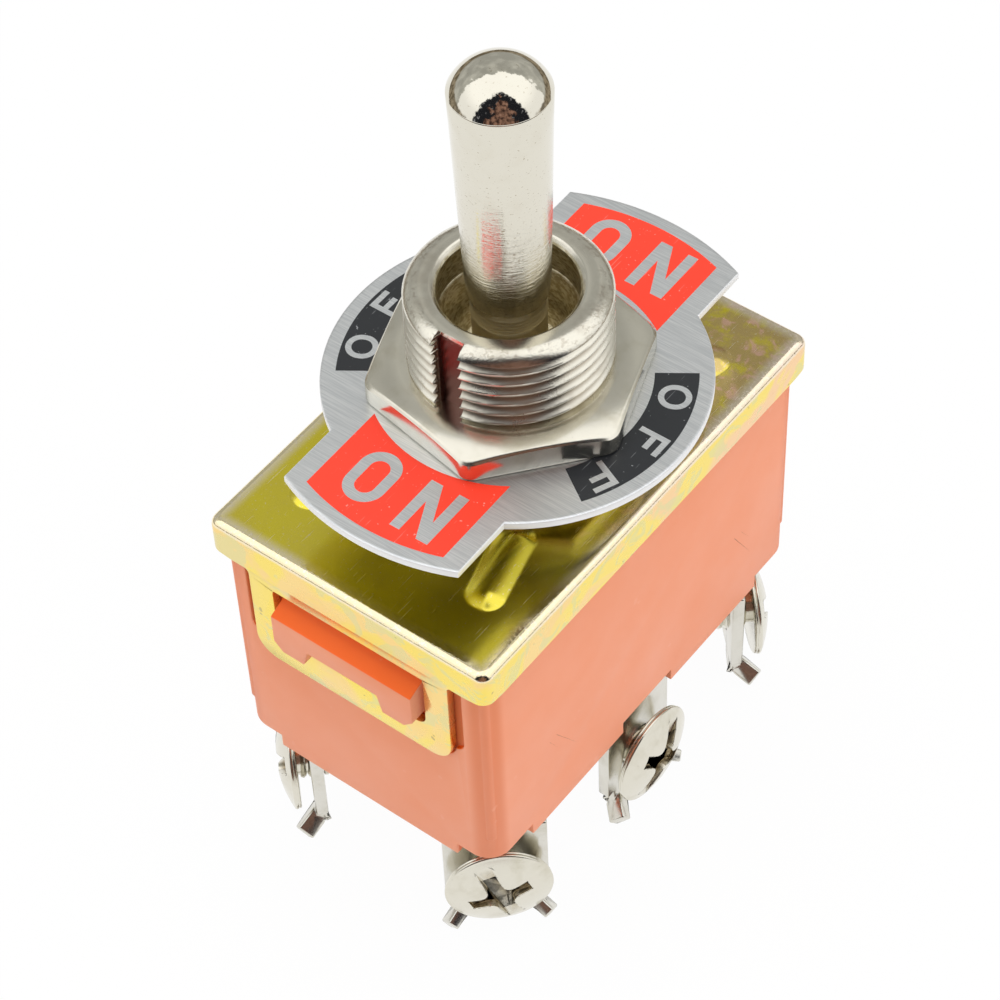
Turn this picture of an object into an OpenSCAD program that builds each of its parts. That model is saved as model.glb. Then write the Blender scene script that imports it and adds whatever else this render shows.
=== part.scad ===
// Panel toggle switch, two poles, on-off-on, with screw terminals.
// The origin is on the bushing's axis where its free thread starts, above the front nut.
// +Z points along the lever, +Y along the body's length, the way the lever swings.

/* [Bushing] */
// Major diameter of the mounting thread
thread_d = 12; // [11.6:0.1:13]
// Pitch diameter, where the engaged threads of bushing and nuts meet
pitch_d = 11.5; // [11.2:0.1:11.6]
// Free thread above the front nut
free_thread = 5.5; // [4:0.5:6]
// Chamfer on the rim
rim_chamfer = 0.8; // [0.4:0.1:1]
// Diameter of the mouth around the lever
mouth_d = 8.1; // [8:0.1:8.8]
// Diameter of the throat that holds the ball down
throat_d = 5.8; // [5.7:0.1:6]
// Length of the throat's straight wall
throat_h = 0.5; // [0.3:0.1:0.8]
// Depth of the mouth below the rim
mouth_depth = 2.4; // [1.5:0.1:3]
// Chamfer inside the mouth's edge
mouth_chamfer = 0.3; // [0.2:0.05:0.4]
// Diameter of the round shoulder on the lid
shoulder_d = 14.4; // [13:0.1:15]
// Height of the round shoulder
shoulder_h = 1.1; // [0.8:0.1:2]
// Diameter of the tenon through the lid
tenon_d = 9.8; // [9:0.1:10.4]
// Diameter of the rim staked over below the lid
stake_d = 11.4; // [10.6:0.1:12.4]
// Height of the staked rim
stake_h = 0.7; // [0.5:0.1:0.9]
// Width of the keyway along the thread
keyway_w = 1.8; // [1.2:0.1:2.2]
// Depth of the keyway below the thread's crest
keyway_depth = 0.9; // [0.5:0.1:1.1]

/* [Nuts and plate] */
// Nuts across flats
nut_af = 15; // [14:0.5:17]
// Height of the front nut
nut_h = 1.9; // [1.5:0.1:3]
// Height of the back nut
back_nut_h = 2; // [1.5:0.1:3]
// Dome height of the front nut's corners
nut_crown = 0.5; // [0.3:0.1:0.8]
// Height of the lock washer
lock_h = 0.9; // [0.6:0.1:1.2]
// Outer diameter of the lock washer
lock_d = 16; // [15:0.5:17]
// Number of inner teeth on the lock washer
lock_teeth = 12; // [8:1:16]
// Gap between the pitch line and the lock washer's teeth
tooth_gap = 0.3; // [0.25:0.05:0.4]
// Length of the lock washer's teeth
tooth_l = 1; // [0.9:0.1:1.2]
// Width of the lock washer's teeth
tooth_w = 1.4; // [1:0.1:1.5]
// Twist of the lock washer's teeth, in degrees
tooth_twist = 16; // [8:1:18]
// Thickness of the indicator plate
plate_t = 0.5; // [0.3:0.1:1]
// Diameter of the indicator plate's disc
plate_d = 22.6; // [21:0.1:25]
// Reach of the plate's tabs from the axis
tab_reach = 15; // [13.5:0.1:16.5]
// Width of the plate's tabs
tab_w = 12.1; // [10:0.1:13]
// Turn of the plate within the play of its key, in degrees
plate_turn = 1; // [0:0.25:1.5]
// Sideways play of the plate on the thread
plate_shift = 0.2; // [0:0.05:0.25]

/* [Lever] */
// Height of the lever's tip above the front nut
lever_h = 21.6; // [20:0.1:26]
// Diameter of the lever at the edge of its dome
lever_top_d = 5.7; // [5:0.1:6]
// Diameter of the lever at its lower end
lever_low_d = 4.9; // [4.5:0.1:5]
// Height of the domed tip
dome_h = 1.8; // [1.2:0.1:2.4]
// Diameter of the neck in the bushing
neck_d = 4.3; // [4:0.1:4.7]
// Depth of the lever's lower end below the rim
neck_drop = 0.7; // [0.5:0.1:1.2]
// Swing to each side, in degrees
lever_swing = 11; // [8:0.5:11]
// Depth of the pivot below the front nut's top
pivot_drop = 2; // [1.9:0.1:2.2]
// Diameter of the ball
ball_d = 6.4; // [6.3:0.1:6.6]
// Running clearance around the ball and the stem's end
run_clear = 0.05; // [0.03:0.01:0.08]
// Distance from the pivot to the stem's round end
stem_len = 8.4; // [8.2:0.1:8.8]
// Diameter of the stem
stem_d = 2.2; // [2:0.1:2.4]
// Diameter of the stem's round end
stem_end_d = 3.2; // [3:0.1:3.4]
// Diameter of the cross pin
pin_d = 1.5; // [1.2:0.1:1.8]
// Length of the cross pin
pin_len = 7.6; // [7.2:0.1:8]
// Bore of the seat ring under the ball
seat_bore_d = 4.8; // [4.6:0.1:5]
// Height of the seat ring
seat_h = 1.5; // [1:0.1:1.6]

/* [Lid] */
// Width of the lid
lid_w = 20; // [19.6:0.1:24]
// Length of the lid
lid_l = 31.8; // [31.4:0.1:36]
// Thickness of the lid's sheet
sheet_t = 0.6; // [0.5:0.1:0.7]
// Height of the lid's flange
flange_h = 2.6; // [2:0.1:3.2]
// Outer bend radius of the lid
bend_r = 1; // [0.8:0.1:1.4]
// Width of the latch ears
ear_w = 14.4; // [13.4:0.1:15]
// Depth of the latch ears below the lid's top
ear_h = 9.9; // [9.6:0.1:11]
// Width of the ear's side bars
ear_bar = 1.75; // [1.2:0.05:2]
// Height of the embossed ribs
rib_h = 0.45; // [0.3:0.05:0.55]
// Width of the embossed ribs
rib_w = 2.4; // [2:0.1:2.4]

/* [Housing] */
// Depth of the housing below the lid's top
housing_h = 19.8; // [19.4:0.1:23]
// Corner radius of the housing
corner_r = 1.6; // [1.2:0.1:2]
// Overhang of the lid's flange past the housing
flange_over = 0.4; // [0.3:0.05:0.5]
// Thickness of the side walls
wall_t = 1.25; // [1:0.05:1.4]
// Thickness of the floor
floor_t = 2; // [1.5:0.1:2.4]
// Depth of the skirt below the floor
skirt_h = 1; // [0.8:0.1:1.5]
// Room around each latch ear in its pocket
pocket_margin = 0.65; // [0.4:0.05:0.9]
// Depth by which each ear reaches below the wide part of its pocket
ear_overlap = 1.2; // [0.8:0.1:1.8]
// Width of the latch hooks
hook_w = 10.2; // [9.4:0.1:10.4]
// How far the hooks stand out past the ears
hook_out = 0.75; // [0.5:0.05:1.2]
// Height of the latch hooks
hook_h = 3.5; // [3:0.1:3.8]
// Thickness of the wall between the poles
divider_t = 1.2; // [0.8:0.1:1.6]

/* [Contacts] */
// Distance of each pole from the middle
pole_x = 4.6; // [4.5:0.1:4.7]
// Distance of the fixed contacts from the middle
contact_y = 8.6; // [8.2:0.1:9]
// Tilt of the rocking contacts with the lever fully over
rocker_tilt = 8; // [6:0.5:8]
// Width of the rocking contacts
rocker_w = 3.2; // [2.8:0.1:3.3]
// Thickness of the rocking contacts
rocker_t = 0.7; // [0.5:0.05:0.8]
// Length of the rocking contacts
rocker_l = 19.6; // [19:0.1:20.4]
// Radius of the trunnions of the rocking contacts
trunnion_r = 0.6; // [0.5:0.05:0.7]
// Radius of the contact buttons
button_r = 1.3; // [1:0.1:1.5]
// Height of the moving contact buttons
button_h = 0.6; // [0.4:0.1:0.8]
// Height of the fixed contact buttons
fixed_h = 0.7; // [0.5:0.1:0.9]
// Gap left between closed contacts
closed_gap = 0.03; // [0.02:0.01:0.05]

/* [Carrier] */
// Height of the sliding carrier
carrier_h = 6.4; // [6:0.1:6.6]
// Length of the sliding carrier along the swing
carrier_l = 7.2; // [6.6:0.1:8]
// Gap above and beside the carrier
carrier_gap = 0.1; // [0.05:0.01:0.15]
// Radius of the spring plungers
plunger_r = 1.5; // [1.3:0.05:1.6]
// How far the plungers stand out below the carrier
plunger_out = 1.8; // [1.7:0.1:2]
// Length of the spring plungers
plunger_l = 3.95; // [3.4:0.05:4.2]
// Roof over the plunger bores
carrier_roof = 1; // [0.8:0.1:1.2]
// Wire diameter of the springs
wire_d = 0.4; // [0.3:0.05:0.45]
// Coils in each spring
coils = 5; // [4:1:6]

/* [Terminals] */
// Width of the terminal plates
term_w = 6.4; // [6:0.1:7]
// Thickness of the terminal strip
term_t = 0.8; // [0.7:0.05:1]
// Depth of the plates' lower edge below the housing
term_h = 6.8; // [6.7:0.1:7.5]
// Depth of the screws below the housing
screw_drop = 4.6; // [4.4:0.1:4.7]
// Distance of the corner plates' outer faces from the middle
corner_reach = 14.3; // [14:0.05:14.4]
// Sideways place of the corner plates along their own faces
corner_shift = 3.76; // [3.6:0.02:3.9]
// Distance of the middle plates' outer faces from the middle
middle_reach = 8.9; // [8.8:0.05:9.3]
// Width of the strip where it passes the floor
neck_w = 2.4; // [2:0.1:2.5]
// Width of the wire prongs
prong_w = 1.2; // [1:0.1:1.3]
// Distance between the two prongs' middles
prong_pitch = 3.9; // [3.6:0.1:4.2]
// Depth of the prongs' fold below the plate
prong_drop = 1.1; // [0.8:0.1:1.4]
// Length of the prongs' bent feet
prong_foot = 1.9; // [1.5:0.1:2.2]
// Slant of the prongs' fold line, in degrees
fold_slant = 44; // [30:1:50]
// Angle by which the feet are bent, in degrees
fold_bend = 108; // [90:1:115]
// Diameter of the screw's shank
screw_d = 3; // [2.8:0.1:3.1]
// Diameter of the binding head
head_d = 6.7; // [6.4:0.1:7.2]
// Height of the head's straight rim
head_rim = 0.5; // [0.4:0.1:0.8]
// Height of the head's dome over its rim
head_dome = 0.8; // [0.6:0.1:1]
// Gap between terminal plate and head
head_gap = 0.8; // [0.4:0.1:1]
// Width of the driver slot
slot_w = 1; // [0.8:0.1:1.3]

/* [Hidden] */
$fn = 48;

eps = 0.01;
seat_clear = 0.05;

// heights, from the nut's top downwards
plate_top = -nut_h;
lock_top = plate_top - plate_t;
back_top = lock_top - lock_h;
shoulder_top = back_top - back_nut_h;
lid_top = shoulder_top - shoulder_h;
lid_under = lid_top - sheet_t;
stake_low = lid_under - stake_h;
pivot_z = -pivot_drop;

// bushing and ball
ball_r = ball_d / 2;
socket_r = ball_r + run_clear;
throat_z = pivot_z + sqrt(ball_r * ball_r - throat_d * throat_d / 4) + run_clear;
seat_top = pivot_z - sqrt(ball_r * ball_r - seat_bore_d * seat_bore_d / 4) - run_clear;
pin_slot_r = pin_len / 2 + 0.1;
tooth_root = 0.15;

// housing
body_w = lid_w - 2 * flange_over;
body_l = lid_l - 2 * flange_over;
top_w = lid_w - 2 * sheet_t - 2 * seat_clear;
top_l = lid_l - 2 * sheet_t - 2 * seat_clear;
cavity_w = body_w - 2 * wall_t;
cavity_l = top_l - 2 * wall_t + 0.2;
body_low = lid_top - housing_h;
floor_low = body_low + skirt_h;
floor_top = floor_low + floor_t;
body_top = lid_under - seat_clear;
ear_face = lid_l / 2;
hook_top = lid_top - flange_h - 1.4;
ear_window_top = hook_top + 0.7;
ear_r = 1.5;
ear_gap = 0.1;
rib_start = [5.3, 6.9];
rib_end = [6.2, 11.8];
hook_slope = 0.6;
hook_notch = 1.3;
hook_chamfer = 0.9;
cavity_r = 0.8;
guide_y = 4.3;
guide_l = 3.6;
guide_in = 0.5;
ledge = [3.4, 3];
saddle_base_w = 5;
middle_notch = 5;
corner_notch = [5.6, 7.6];
recess_depth = 0.8;
recess_turn = 25;

// carrier, plungers and rockers
carrier_top = stake_low - carrier_gap;
carrier_low = carrier_top - carrier_h;
carrier_w = cavity_w - 2 * carrier_gap - 0.1;
swing_y = stem_len * sin(lever_swing);
plunger_tip = carrier_low - plunger_out;
trough_top = plunger_tip - seat_clear;
trunnion_z = trough_top - rocker_t - 0.35;
trough_r = swing_y * 180 / (PI * rocker_tilt);
trough_half = 2.4;
trough_rise = trough_r - sqrt(trough_r * trough_r - trough_half * trough_half);
arm_end = rocker_l / 2;
arm_rise = (arm_end - trough_half) * tan(rocker_tilt);
closed_top = trunnion_z + (trough_top - trunnion_z + trough_rise) * cos(rocker_tilt)
    - trough_half * sin(rocker_tilt);
fixed_top = closed_top - rocker_t - button_h - closed_gap;
tab_top = fixed_top - fixed_h;
saddle_top = trunnion_z + 0.5;
saddle_base = trunnion_z - trunnion_r - 1.3;
saddle_t = 0.8;
ring_hold = rocker_w / 2 + 0.15;
trunnion_l = 2 * (ring_hold + saddle_t);
spring_r = plunger_r - 0.1;
bore_top = carrier_top - carrier_roof;
plunger_top = plunger_tip + plunger_l;
spring_low = plunger_top + seat_clear;
spring_high = bore_top - seat_clear;

// terminals
screw_z = body_low - screw_drop;
term_low = body_low - term_h;
term_top = body_low - 0.1;
prong_top = term_low + 0.9;
fold_z = term_low - prong_drop;
middle_neck = cavity_w / 2 - seat_clear - term_t;
common_step = 0.85;

function side_x(side) = side == "left" ? -1 : 1;

// Rectangle with round corners, centred
module round_rect(w, l, r) {
    square([w - 2 * r, l], center = true);
    square([w, l - 2 * r], center = true);
    for (x = [-1, 1], y = [-1, 1])
        translate([x * (w / 2 - r), y * (l / 2 - r)]) circle(r);
}

// Block with round vertical and top edges, its top face at z = 0
module soft_block(w, l, h, r) {
    translate([0, 0, -h]) linear_extrude(h - r) round_rect(w, l, r);
    translate([0, 0, -r - eps]) linear_extrude(r + eps) square([w - 2 * r, l - 2 * r], center = true);
    for (x = [-1, 1])
        translate([x * (w / 2 - r), 0, -r]) rotate([90, 0, 0]) cylinder(r = r, h = l - 2 * r, center = true);
    for (y = [-1, 1])
        translate([0, y * (l / 2 - r), -r]) rotate([0, 90, 0]) cylinder(r = r, h = w - 2 * r, center = true);
    for (x = [-1, 1], y = [-1, 1])
        translate([x * (w / 2 - r), y * (l / 2 - r), -r]) sphere(r);
}

// Outline of an embossed rib, from beside the bushing towards a corner
module rib_outline(x, y, w) {
    run = [(rib_end[0] - rib_start[0]) * x, (rib_end[1] - rib_start[1]) * y];
    translate([rib_start[0] * x, rib_start[1] * y]) rotate([0, 0, atan2(run[1], run[0])]) {
        circle(d = w);
        translate([0, -w / 2]) square([norm(run), w]);
        translate([norm(run), 0]) circle(d = w);
    }
}

// Embossed rib in three steps, from a height up to its top
module rib(x, y, w, low, high) {
    step = rib_h / 4;
    for (i = [0 : 2])
        translate([0, 0, low])
            linear_extrude(high - low - (2 - i) * step) rib_outline(x, y, w - 2 * i * step);
}

module lid() {
    color("goldenrod") difference() {
        union() {
            translate([0, 0, lid_top]) soft_block(lid_w, lid_l, flange_h, bend_r);
            for (x = [-1, 1], y = [-1, 1]) rib(x, y, rib_w, lid_top - sheet_t / 2, lid_top + rib_h);
            for (y = [-1, 1]) ear(y);
        }
        translate([0, 0, lid_under])
            soft_block(lid_w - 2 * sheet_t, lid_l - 2 * sheet_t, flange_h, bend_r - sheet_t);
        for (x = [-1, 1], y = [-1, 1])
            rib(x, y, rib_w - sheet_t, lid_under - eps, lid_under + rib_h);
        translate([0, 0, lid_under - 1]) cylinder(d = tenon_d + 2 * seat_clear, h = sheet_t + 2);
    }
}

// Latch ear: a loop that hangs from the flange and snaps over the housing's hook
module ear(y) {
    window_w = ear_w - 2 * ear_bar;
    window_low = hook_top - hook_h - seat_clear;
    translate([0, y * (ear_face - sheet_t / 2), 0]) rotate([90, 0, 0])
        linear_extrude(sheet_t, center = true) difference() {
            round_bottom(ear_w, lid_top - bend_r, lid_top - ear_h, ear_r);
            translate([-window_w / 2, window_low]) square([window_w, ear_window_top - window_low]);
        }
}

// Rectangle from a high to a low edge, with its two lower corners round
module round_bottom(w, high, low, r) {
    translate([-w / 2, low + r]) square([w, high - low - r]);
    translate([-w / 2 + r, low]) square([w - 2 * r, 2 * r]);
    for (x = [-1, 1]) translate([x * (w / 2 - r), low + r]) circle(r);
}

// Latch hook: a ramp on top, a flat face and two feet over the ear's lower bar
module hook(y) {
    depth = ear_face + hook_out - top_l / 2;
    foot = hook_w / 4;
    translate([0, y * (top_l / 2 - eps), hook_top]) rotate([0, 0, y > 0 ? 180 : 0])
        difference() {
            translate([hook_w / 2, 0, 0]) rotate([90, 0, -90]) linear_extrude(hook_w)
                polygon([[0, -hook_h], [0, 0], [depth + eps, -hook_slope], [depth + eps, -hook_h]]);
            translate([0, 0, -hook_h]) rotate([90, 0, 0]) linear_extrude(3 * depth, center = true)
                polygon([
                    [-foot - hook_slope, -1], [-foot, hook_notch],
                    [foot, hook_notch], [foot + hook_slope, -1]
                ]);
            for (x = [-1, 1])
                translate([x * hook_w / 2, 0, -hook_h]) rotate([0, 45, 0])
                    cube([hook_chamfer, 3 * depth, hook_chamfer], center = true);
        }
}

module housing() {
    color("coral") difference() {
        union() {
            difference() {
                translate([0, 0, body_low])
                    linear_extrude(lid_top - flange_h - body_low) round_rect(body_w, body_l, corner_r);
                for (y = [-1, 1]) pocket(y);
            }
            translate([0, 0, body_top]) soft_block(top_w, top_l, body_top - floor_top, bend_r - sheet_t);
            for (y = [-1, 1]) hook(y);
        }
        cavity();
        translate([0, 0, body_low - 1]) linear_extrude(skirt_h + 1)
            round_rect(body_w - 2 * wall_t, body_l - 2 * wall_t, corner_r / 2);
        skirt_notches();
        floor_slots();
    }
}

// Recess in the end wall that takes the latch ear: wide beside it, close round its lower end
module pocket(y) {
    w = ear_w + 2 * pocket_margin;
    high = lid_top - flange_h;
    ear_low = lid_top - ear_h;
    translate([0, y * (top_l / 2 + 1), 0]) rotate([90, 0, 0])
        linear_extrude(2, center = true) {
            round_bottom(w, high, ear_low + ear_overlap, ear_r / 2);
            round_bottom(ear_w + 2 * ear_gap, high, ear_low - ear_gap, ear_r + ear_gap);
        }
}

// Room for the mechanism, less the divider, the guide ribs and the pedestals
module cavity() {
    base = floor_top - 1;
    difference() {
        translate([0, 0, floor_top])
            linear_extrude(body_top - floor_top + 1) round_rect(cavity_w, cavity_l, cavity_r);
        box(divider_t, cavity_l + 2, base, carrier_low - 0.3);
        for (x = [-1, 1]) {
            for (y = [-1, 1]) {
                translate([x * (cavity_w / 2 - guide_in + 1), y * guide_y, 0])
                    box(2 + 2 * guide_in, guide_l, base, carrier_low - carrier_gap);
                translate([x * pole_x, y * contact_y, 0]) box(ledge[0], ledge[1], base, tab_top - saddle_t);
            }
            translate([x * pole_x, 0, 0]) box(saddle_base_w, guide_l, base, saddle_base - saddle_t);
        }
    }
}

// Upright box centred in plan, from one height to another
module box(w, l, low, high) {
    translate([-w / 2, -l / 2, low]) cube([w, l, high - low]);
}

// Notches in the skirt at the corners and beside the middle terminals
module skirt_notches() {
    for (x = [-1, 1]) {
        translate([x * body_w / 2, 0, 0]) box(4 * wall_t, middle_notch, body_low - 1, floor_low);
        for (y = [-1, 1])
            translate([x * body_w / 2, y * body_l / 2, 0])
                box(corner_notch[0], corner_notch[1], body_low - 1, floor_low);
    }
}

// Slots for the six terminal strips
module floor_slots() {
    h = floor_t + 2;
    for (x = [-1, 1]) {
        translate([x * (middle_neck + term_t / 2), 0, floor_low - 1 + h / 2])
            cube([term_t + 2 * seat_clear, neck_w + 2 * seat_clear, h], center = true);
        for (y = [-1, 1])
            corner_place(x, y) translate([-term_t / 2, 0, floor_low - 1 + h / 2])
                cube([term_t + 2 * seat_clear, neck_w + 2 * seat_clear, h], center = true);
    }
}

// Puts a corner terminal's own frame in its place: its outer face at x = 0, facing out
module corner_place(x, y) {
    mirror([x < 0 ? 1 : 0, 0, 0]) mirror([0, y > 0 ? 1 : 0, 0])
        rotate([0, 0, -45]) translate([corner_reach, -corner_shift, 0]) children();
}

module bushing() {
    body_r = thread_d / 2;
    rim_z = free_thread;
    color("lightgray") difference() {
        rotate_extrude() polygon([
            [0, stake_low], [stake_d / 2, stake_low], [stake_d / 2, lid_under - seat_clear],
            [tenon_d / 2, lid_under - seat_clear], [tenon_d / 2, lid_top], [shoulder_d / 2, lid_top],
            [shoulder_d / 2, shoulder_top], [pitch_d / 2, shoulder_top], [pitch_d / 2, 0], [body_r, 0],
            [body_r, rim_z - rim_chamfer], [body_r - rim_chamfer, rim_z], [0, rim_z]
        ]);
        translate([0, 0, stake_low - 1]) cylinder(r = socket_r, h = throat_z - stake_low + 1);
        translate([0, 0, throat_z - eps]) cylinder(d = throat_d, h = rim_z);
        translate([0, 0, throat_z + throat_h])
            cylinder(d1 = throat_d, d2 = mouth_d, h = rim_z - mouth_depth - throat_z - throat_h);
        translate([0, 0, rim_z - mouth_depth - eps]) cylinder(d = mouth_d, h = mouth_depth + 1);
        translate([0, 0, rim_z - mouth_chamfer])
            cylinder(d1 = mouth_d, d2 = mouth_d + 4 * mouth_chamfer, h = 2 * mouth_chamfer);
        pin_grooves();
        translate([0, -body_r, 0]) box(keyway_w, 2 * keyway_depth, shoulder_top, rim_z + 1);
    }
}

// Grooves inside the socket, open at the bottom, that guide the ends of the cross pin
module pin_grooves() {
    w = pin_d + 2 * run_clear;
    translate([0, 0, pivot_z]) rotate([0, 90, 0]) cylinder(d = w, h = 2 * pin_slot_r, center = true);
    box(2 * pin_slot_r, w, stake_low - 1, pivot_z);
}

// Ring pressed in under the ball
module seat_ring() {
    color("tan") translate([0, 0, seat_top - seat_h]) difference() {
        cylinder(r = socket_r - eps, h = seat_h);
        translate([0, 0, -1]) cylinder(d = seat_bore_d, h = seat_h + 2);
    }
}

// Hexagonal nut on the thread, with a crown of the given height on its top corners
module nut(h, crown) {
    corner_r = nut_af / 2 / cos(30);
    difference() {
        intersection() {
            rotate([0, 0, 30]) cylinder(r = corner_r, h = h, $fn = 6);
            if (crown > 0)
                cylinder(r1 = corner_r + 2 * (h - crown), r2 = corner_r - 2 * crown, h = h);
        }
        translate([0, 0, -1]) cylinder(r = pitch_d / 2 + eps, h = h + 2);
    }
}

module front_nut() {
    color("silver") translate([0, 0, -nut_h]) rotate([0, 0, 80]) nut(nut_h, nut_crown);
}

module back_nut() {
    color("silver") translate([0, 0, shoulder_top]) nut(back_nut_h, 0.3);
}

// Lock washer: a flat ring with twisted inner teeth, keyed to the bushing
module lock_washer() {
    ring_t = lock_h / 2;
    tooth_tip = pitch_d / 2 + tooth_gap;
    color("silver") translate([0, 0, back_top]) {
        difference() {
            cylinder(d = lock_d, h = ring_t);
            translate([0, 0, -1]) cylinder(r = tooth_tip + tooth_l - tooth_root, h = lock_h + 2);
        }
        for (i = [0 : lock_teeth - 1])
            rotate([0, 0, i * 360 / lock_teeth]) translate([tooth_tip + tooth_l / 2, 0, lock_h / 2])
                rotate([tooth_twist, 0, 0]) cube([tooth_l, tooth_w, ring_t], center = true);
    }
}

// Indicator plate: a disc with two wide tabs, keyed with some play to the bushing's keyway
module indicator_plate() {
    hole_d = pitch_d + 2 * (plate_shift + seat_clear);
    key_reach = pitch_d / 2 - keyway_depth / 2;
    color("gainsboro") translate([plate_shift, 0, lock_top]) linear_extrude(plate_t) {
        rotate([0, 0, plate_turn]) difference() {
            union() {
                circle(d = plate_d);
                intersection() {
                    circle(r = tab_reach);
                    square([tab_w, 2 * tab_reach], center = true);
                }
            }
            circle(d = hole_d);
        }
        translate([-plate_shift, -(key_reach + hole_d / 2 + eps) / 2])
            square([keyway_w - 4 * seat_clear, hole_d / 2 + eps - key_reach], center = true);
    }
}

module lever() {
    tip = lever_h;
    low = free_thread - neck_drop;
    dome_z = tip - dome_h;
    dome_r = (dome_h * dome_h + lever_top_d * lever_top_d / 4) / (2 * dome_h);
    color("whitesmoke") difference() {
        union() {
            rotate_extrude() union() {
                polygon([
                    [0, pivot_z], [neck_d / 2, pivot_z],
                    [neck_d / 2, low - 0.2], [lever_low_d / 2, low + 0.5],
                    [lever_top_d / 2, dome_z], [0, dome_z]
                ]);
                intersection() {
                    translate([0, tip - dome_r]) circle(dome_r, $fn = 96);
                    translate([0, dome_z - eps]) square([lever_top_d / 2, dome_h + 1]);
                }
            }
            translate([0, 0, pivot_z]) sphere(ball_r, $fn = 64);
            translate([0, 0, pivot_z - stem_len]) cylinder(d = stem_d, h = stem_len);
            translate([0, 0, pivot_z - stem_len]) sphere(d = stem_end_d);
        }
        translate([0, 0, pivot_z]) rotate([0, 90, 0])
            cylinder(r = pin_d / 2 + eps, h = ball_d + 1, center = true);
    }
}

module pivot_pin() {
    color("gray") translate([0, 0, pivot_z]) rotate([0, 90, 0])
        cylinder(d = pin_d, h = pin_len, center = true);
}

// Insulating carrier: the stem's end moves it along Y, and it drags the two spring plungers
module carrier() {
    slot = stem_end_d / 2 + run_clear;
    slot_flare = slot + 0.7;
    flare_h = 1.4;
    color("saddlebrown") difference() {
        box(carrier_w, carrier_l, carrier_low, carrier_top);
        rotate([90, 0, 90]) linear_extrude(2 * slot, center = true) polygon([
            [-slot, carrier_low - 1], [slot, carrier_low - 1], [slot, carrier_top - flare_h],
            [slot_flare, carrier_top + eps], [-slot_flare, carrier_top + eps], [-slot, carrier_top - flare_h]
        ]);
        for (x = [-1, 1])
            translate([x * pole_x, 0, carrier_low - 1])
                cylinder(r = plunger_r + run_clear, h = bore_top - carrier_low + 1);
    }
}

module plunger(side) {
    color("khaki") translate([side_x(side) * pole_x, 0, plunger_tip + plunger_r]) {
        cylinder(r = plunger_r, h = plunger_l - plunger_r);
        sphere(plunger_r);
    }
}

// Points of one wire section, turned round the spring's axis
function wire_ring(turn, height, radius, wire, sides) = [
    for (i = [0 : sides - 1])
        let (a = 360 * i / sides, r = radius + wire * cos(a))
        [r * cos(turn), r * sin(turn), height + wire * sin(a)]
];

// Helical spring with closed ends
module spring(side) {
    sides = 6;
    steps = 14;
    wire = wire_d / 2;
    total = coils * steps;
    low = spring_low + wire;
    high = spring_high - wire;
    points = [
        for (i = [0 : total])
            each wire_ring(360 * i / steps, low + (high - low) * i / total, spring_r - wire, wire, sides)
    ];
    walls = [
        for (i = [0 : total - 1], j = [0 : sides - 1])
            let (a = i * sides + j, b = i * sides + (j + 1) % sides)
            each [[a, b + sides, b], [a, a + sides, b + sides]]
    ];
    first = [for (j = [0 : sides - 1]) j];
    last = [for (j = [sides - 1 : -1 : 0]) total * sides + j];
    color("gray") translate([side_x(side) * pole_x, 0, 0])
        polyhedron(points, concat(walls, [first, last]), convexity = 8);
}

// Rocking contact: a trough for the plunger, two rising arms, trunnions and two contact buttons
module rocker(side) {
    steps = 8;
    trough = [
        for (i = [-steps : steps])
            let (y = trough_half * i / steps)
            [y, trough_r - sqrt(trough_r * trough_r - y * y)]
    ];
    top = concat([[-arm_end, trough_rise + arm_rise]], trough, [[arm_end, trough_rise + arm_rise]]);
    under = [for (i = [len(top) - 1 : -1 : 0]) top[i] - [0, rocker_t / cos(rocker_tilt)]];
    color("peru") translate([side_x(side) * pole_x, 0, 0]) {
        translate([0, 0, trough_top]) rotate([90, 0, 90])
            linear_extrude(rocker_w, center = true) polygon(concat(top, under));
        translate([0, 0, trunnion_z]) rotate([0, 90, 0])
            cylinder(r = trunnion_r, h = trunnion_l, center = true);
        translate([0, 0, trunnion_z]) box(rocker_w, 1.2, -0.3, trough_top - trunnion_z - rocker_t / 2);
        for (y = [-1, 1])
            translate([0, 0, trunnion_z]) rotate([y * rocker_tilt, 0, 0])
                translate([0, y * contact_y, closed_top - rocker_t - button_h - trunnion_z])
                    cylinder(r = button_r, h = button_h + eps);
    }
}

// Wire prong of the plate's own strip: upright, then bent outwards about a slanting fold
module prong(y) {
    half = prong_w / 2;
    rise = half * tan(fold_slant);
    mirror([0, y < 0 ? 1 : 0, 0]) translate([-term_t / 2, prong_pitch / 2, fold_z]) {
        flat_bar([[-half, rise], [half, -rise], [half, prong_top - fold_z], [-half, prong_top - fold_z]]);
        rotate(a = -fold_bend, v = [0, cos(fold_slant), -sin(fold_slant)])
            flat_bar([[-half, rise], [-half, -prong_foot], [half, -prong_foot], [half, -rise]]);
        rotate([90 - fold_slant, 0, 0]) cylinder(d = term_t, h = prong_w, center = true);
    }
}

// Flat bar of strip in the Y and Z plane
module flat_bar(outline) {
    rotate([90, 0, 90]) linear_extrude(term_t, center = true) polygon(outline);
}

// Screw plate with its hole and prongs below a narrow neck, outer face at x = 0
module terminal_plate() {
    difference() {
        translate([-term_t / 2, 0, 0]) {
            box(term_t, term_w, term_low, term_top);
            box(term_t, neck_w, term_top - eps, floor_low - seat_clear);
        }
        translate([0, 0, screw_z]) rotate([0, 90, 0])
            cylinder(d = screw_d + 2 * seat_clear, h = 4, center = true);
    }
    for (y = [-1, 1]) prong(y);
}

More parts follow.
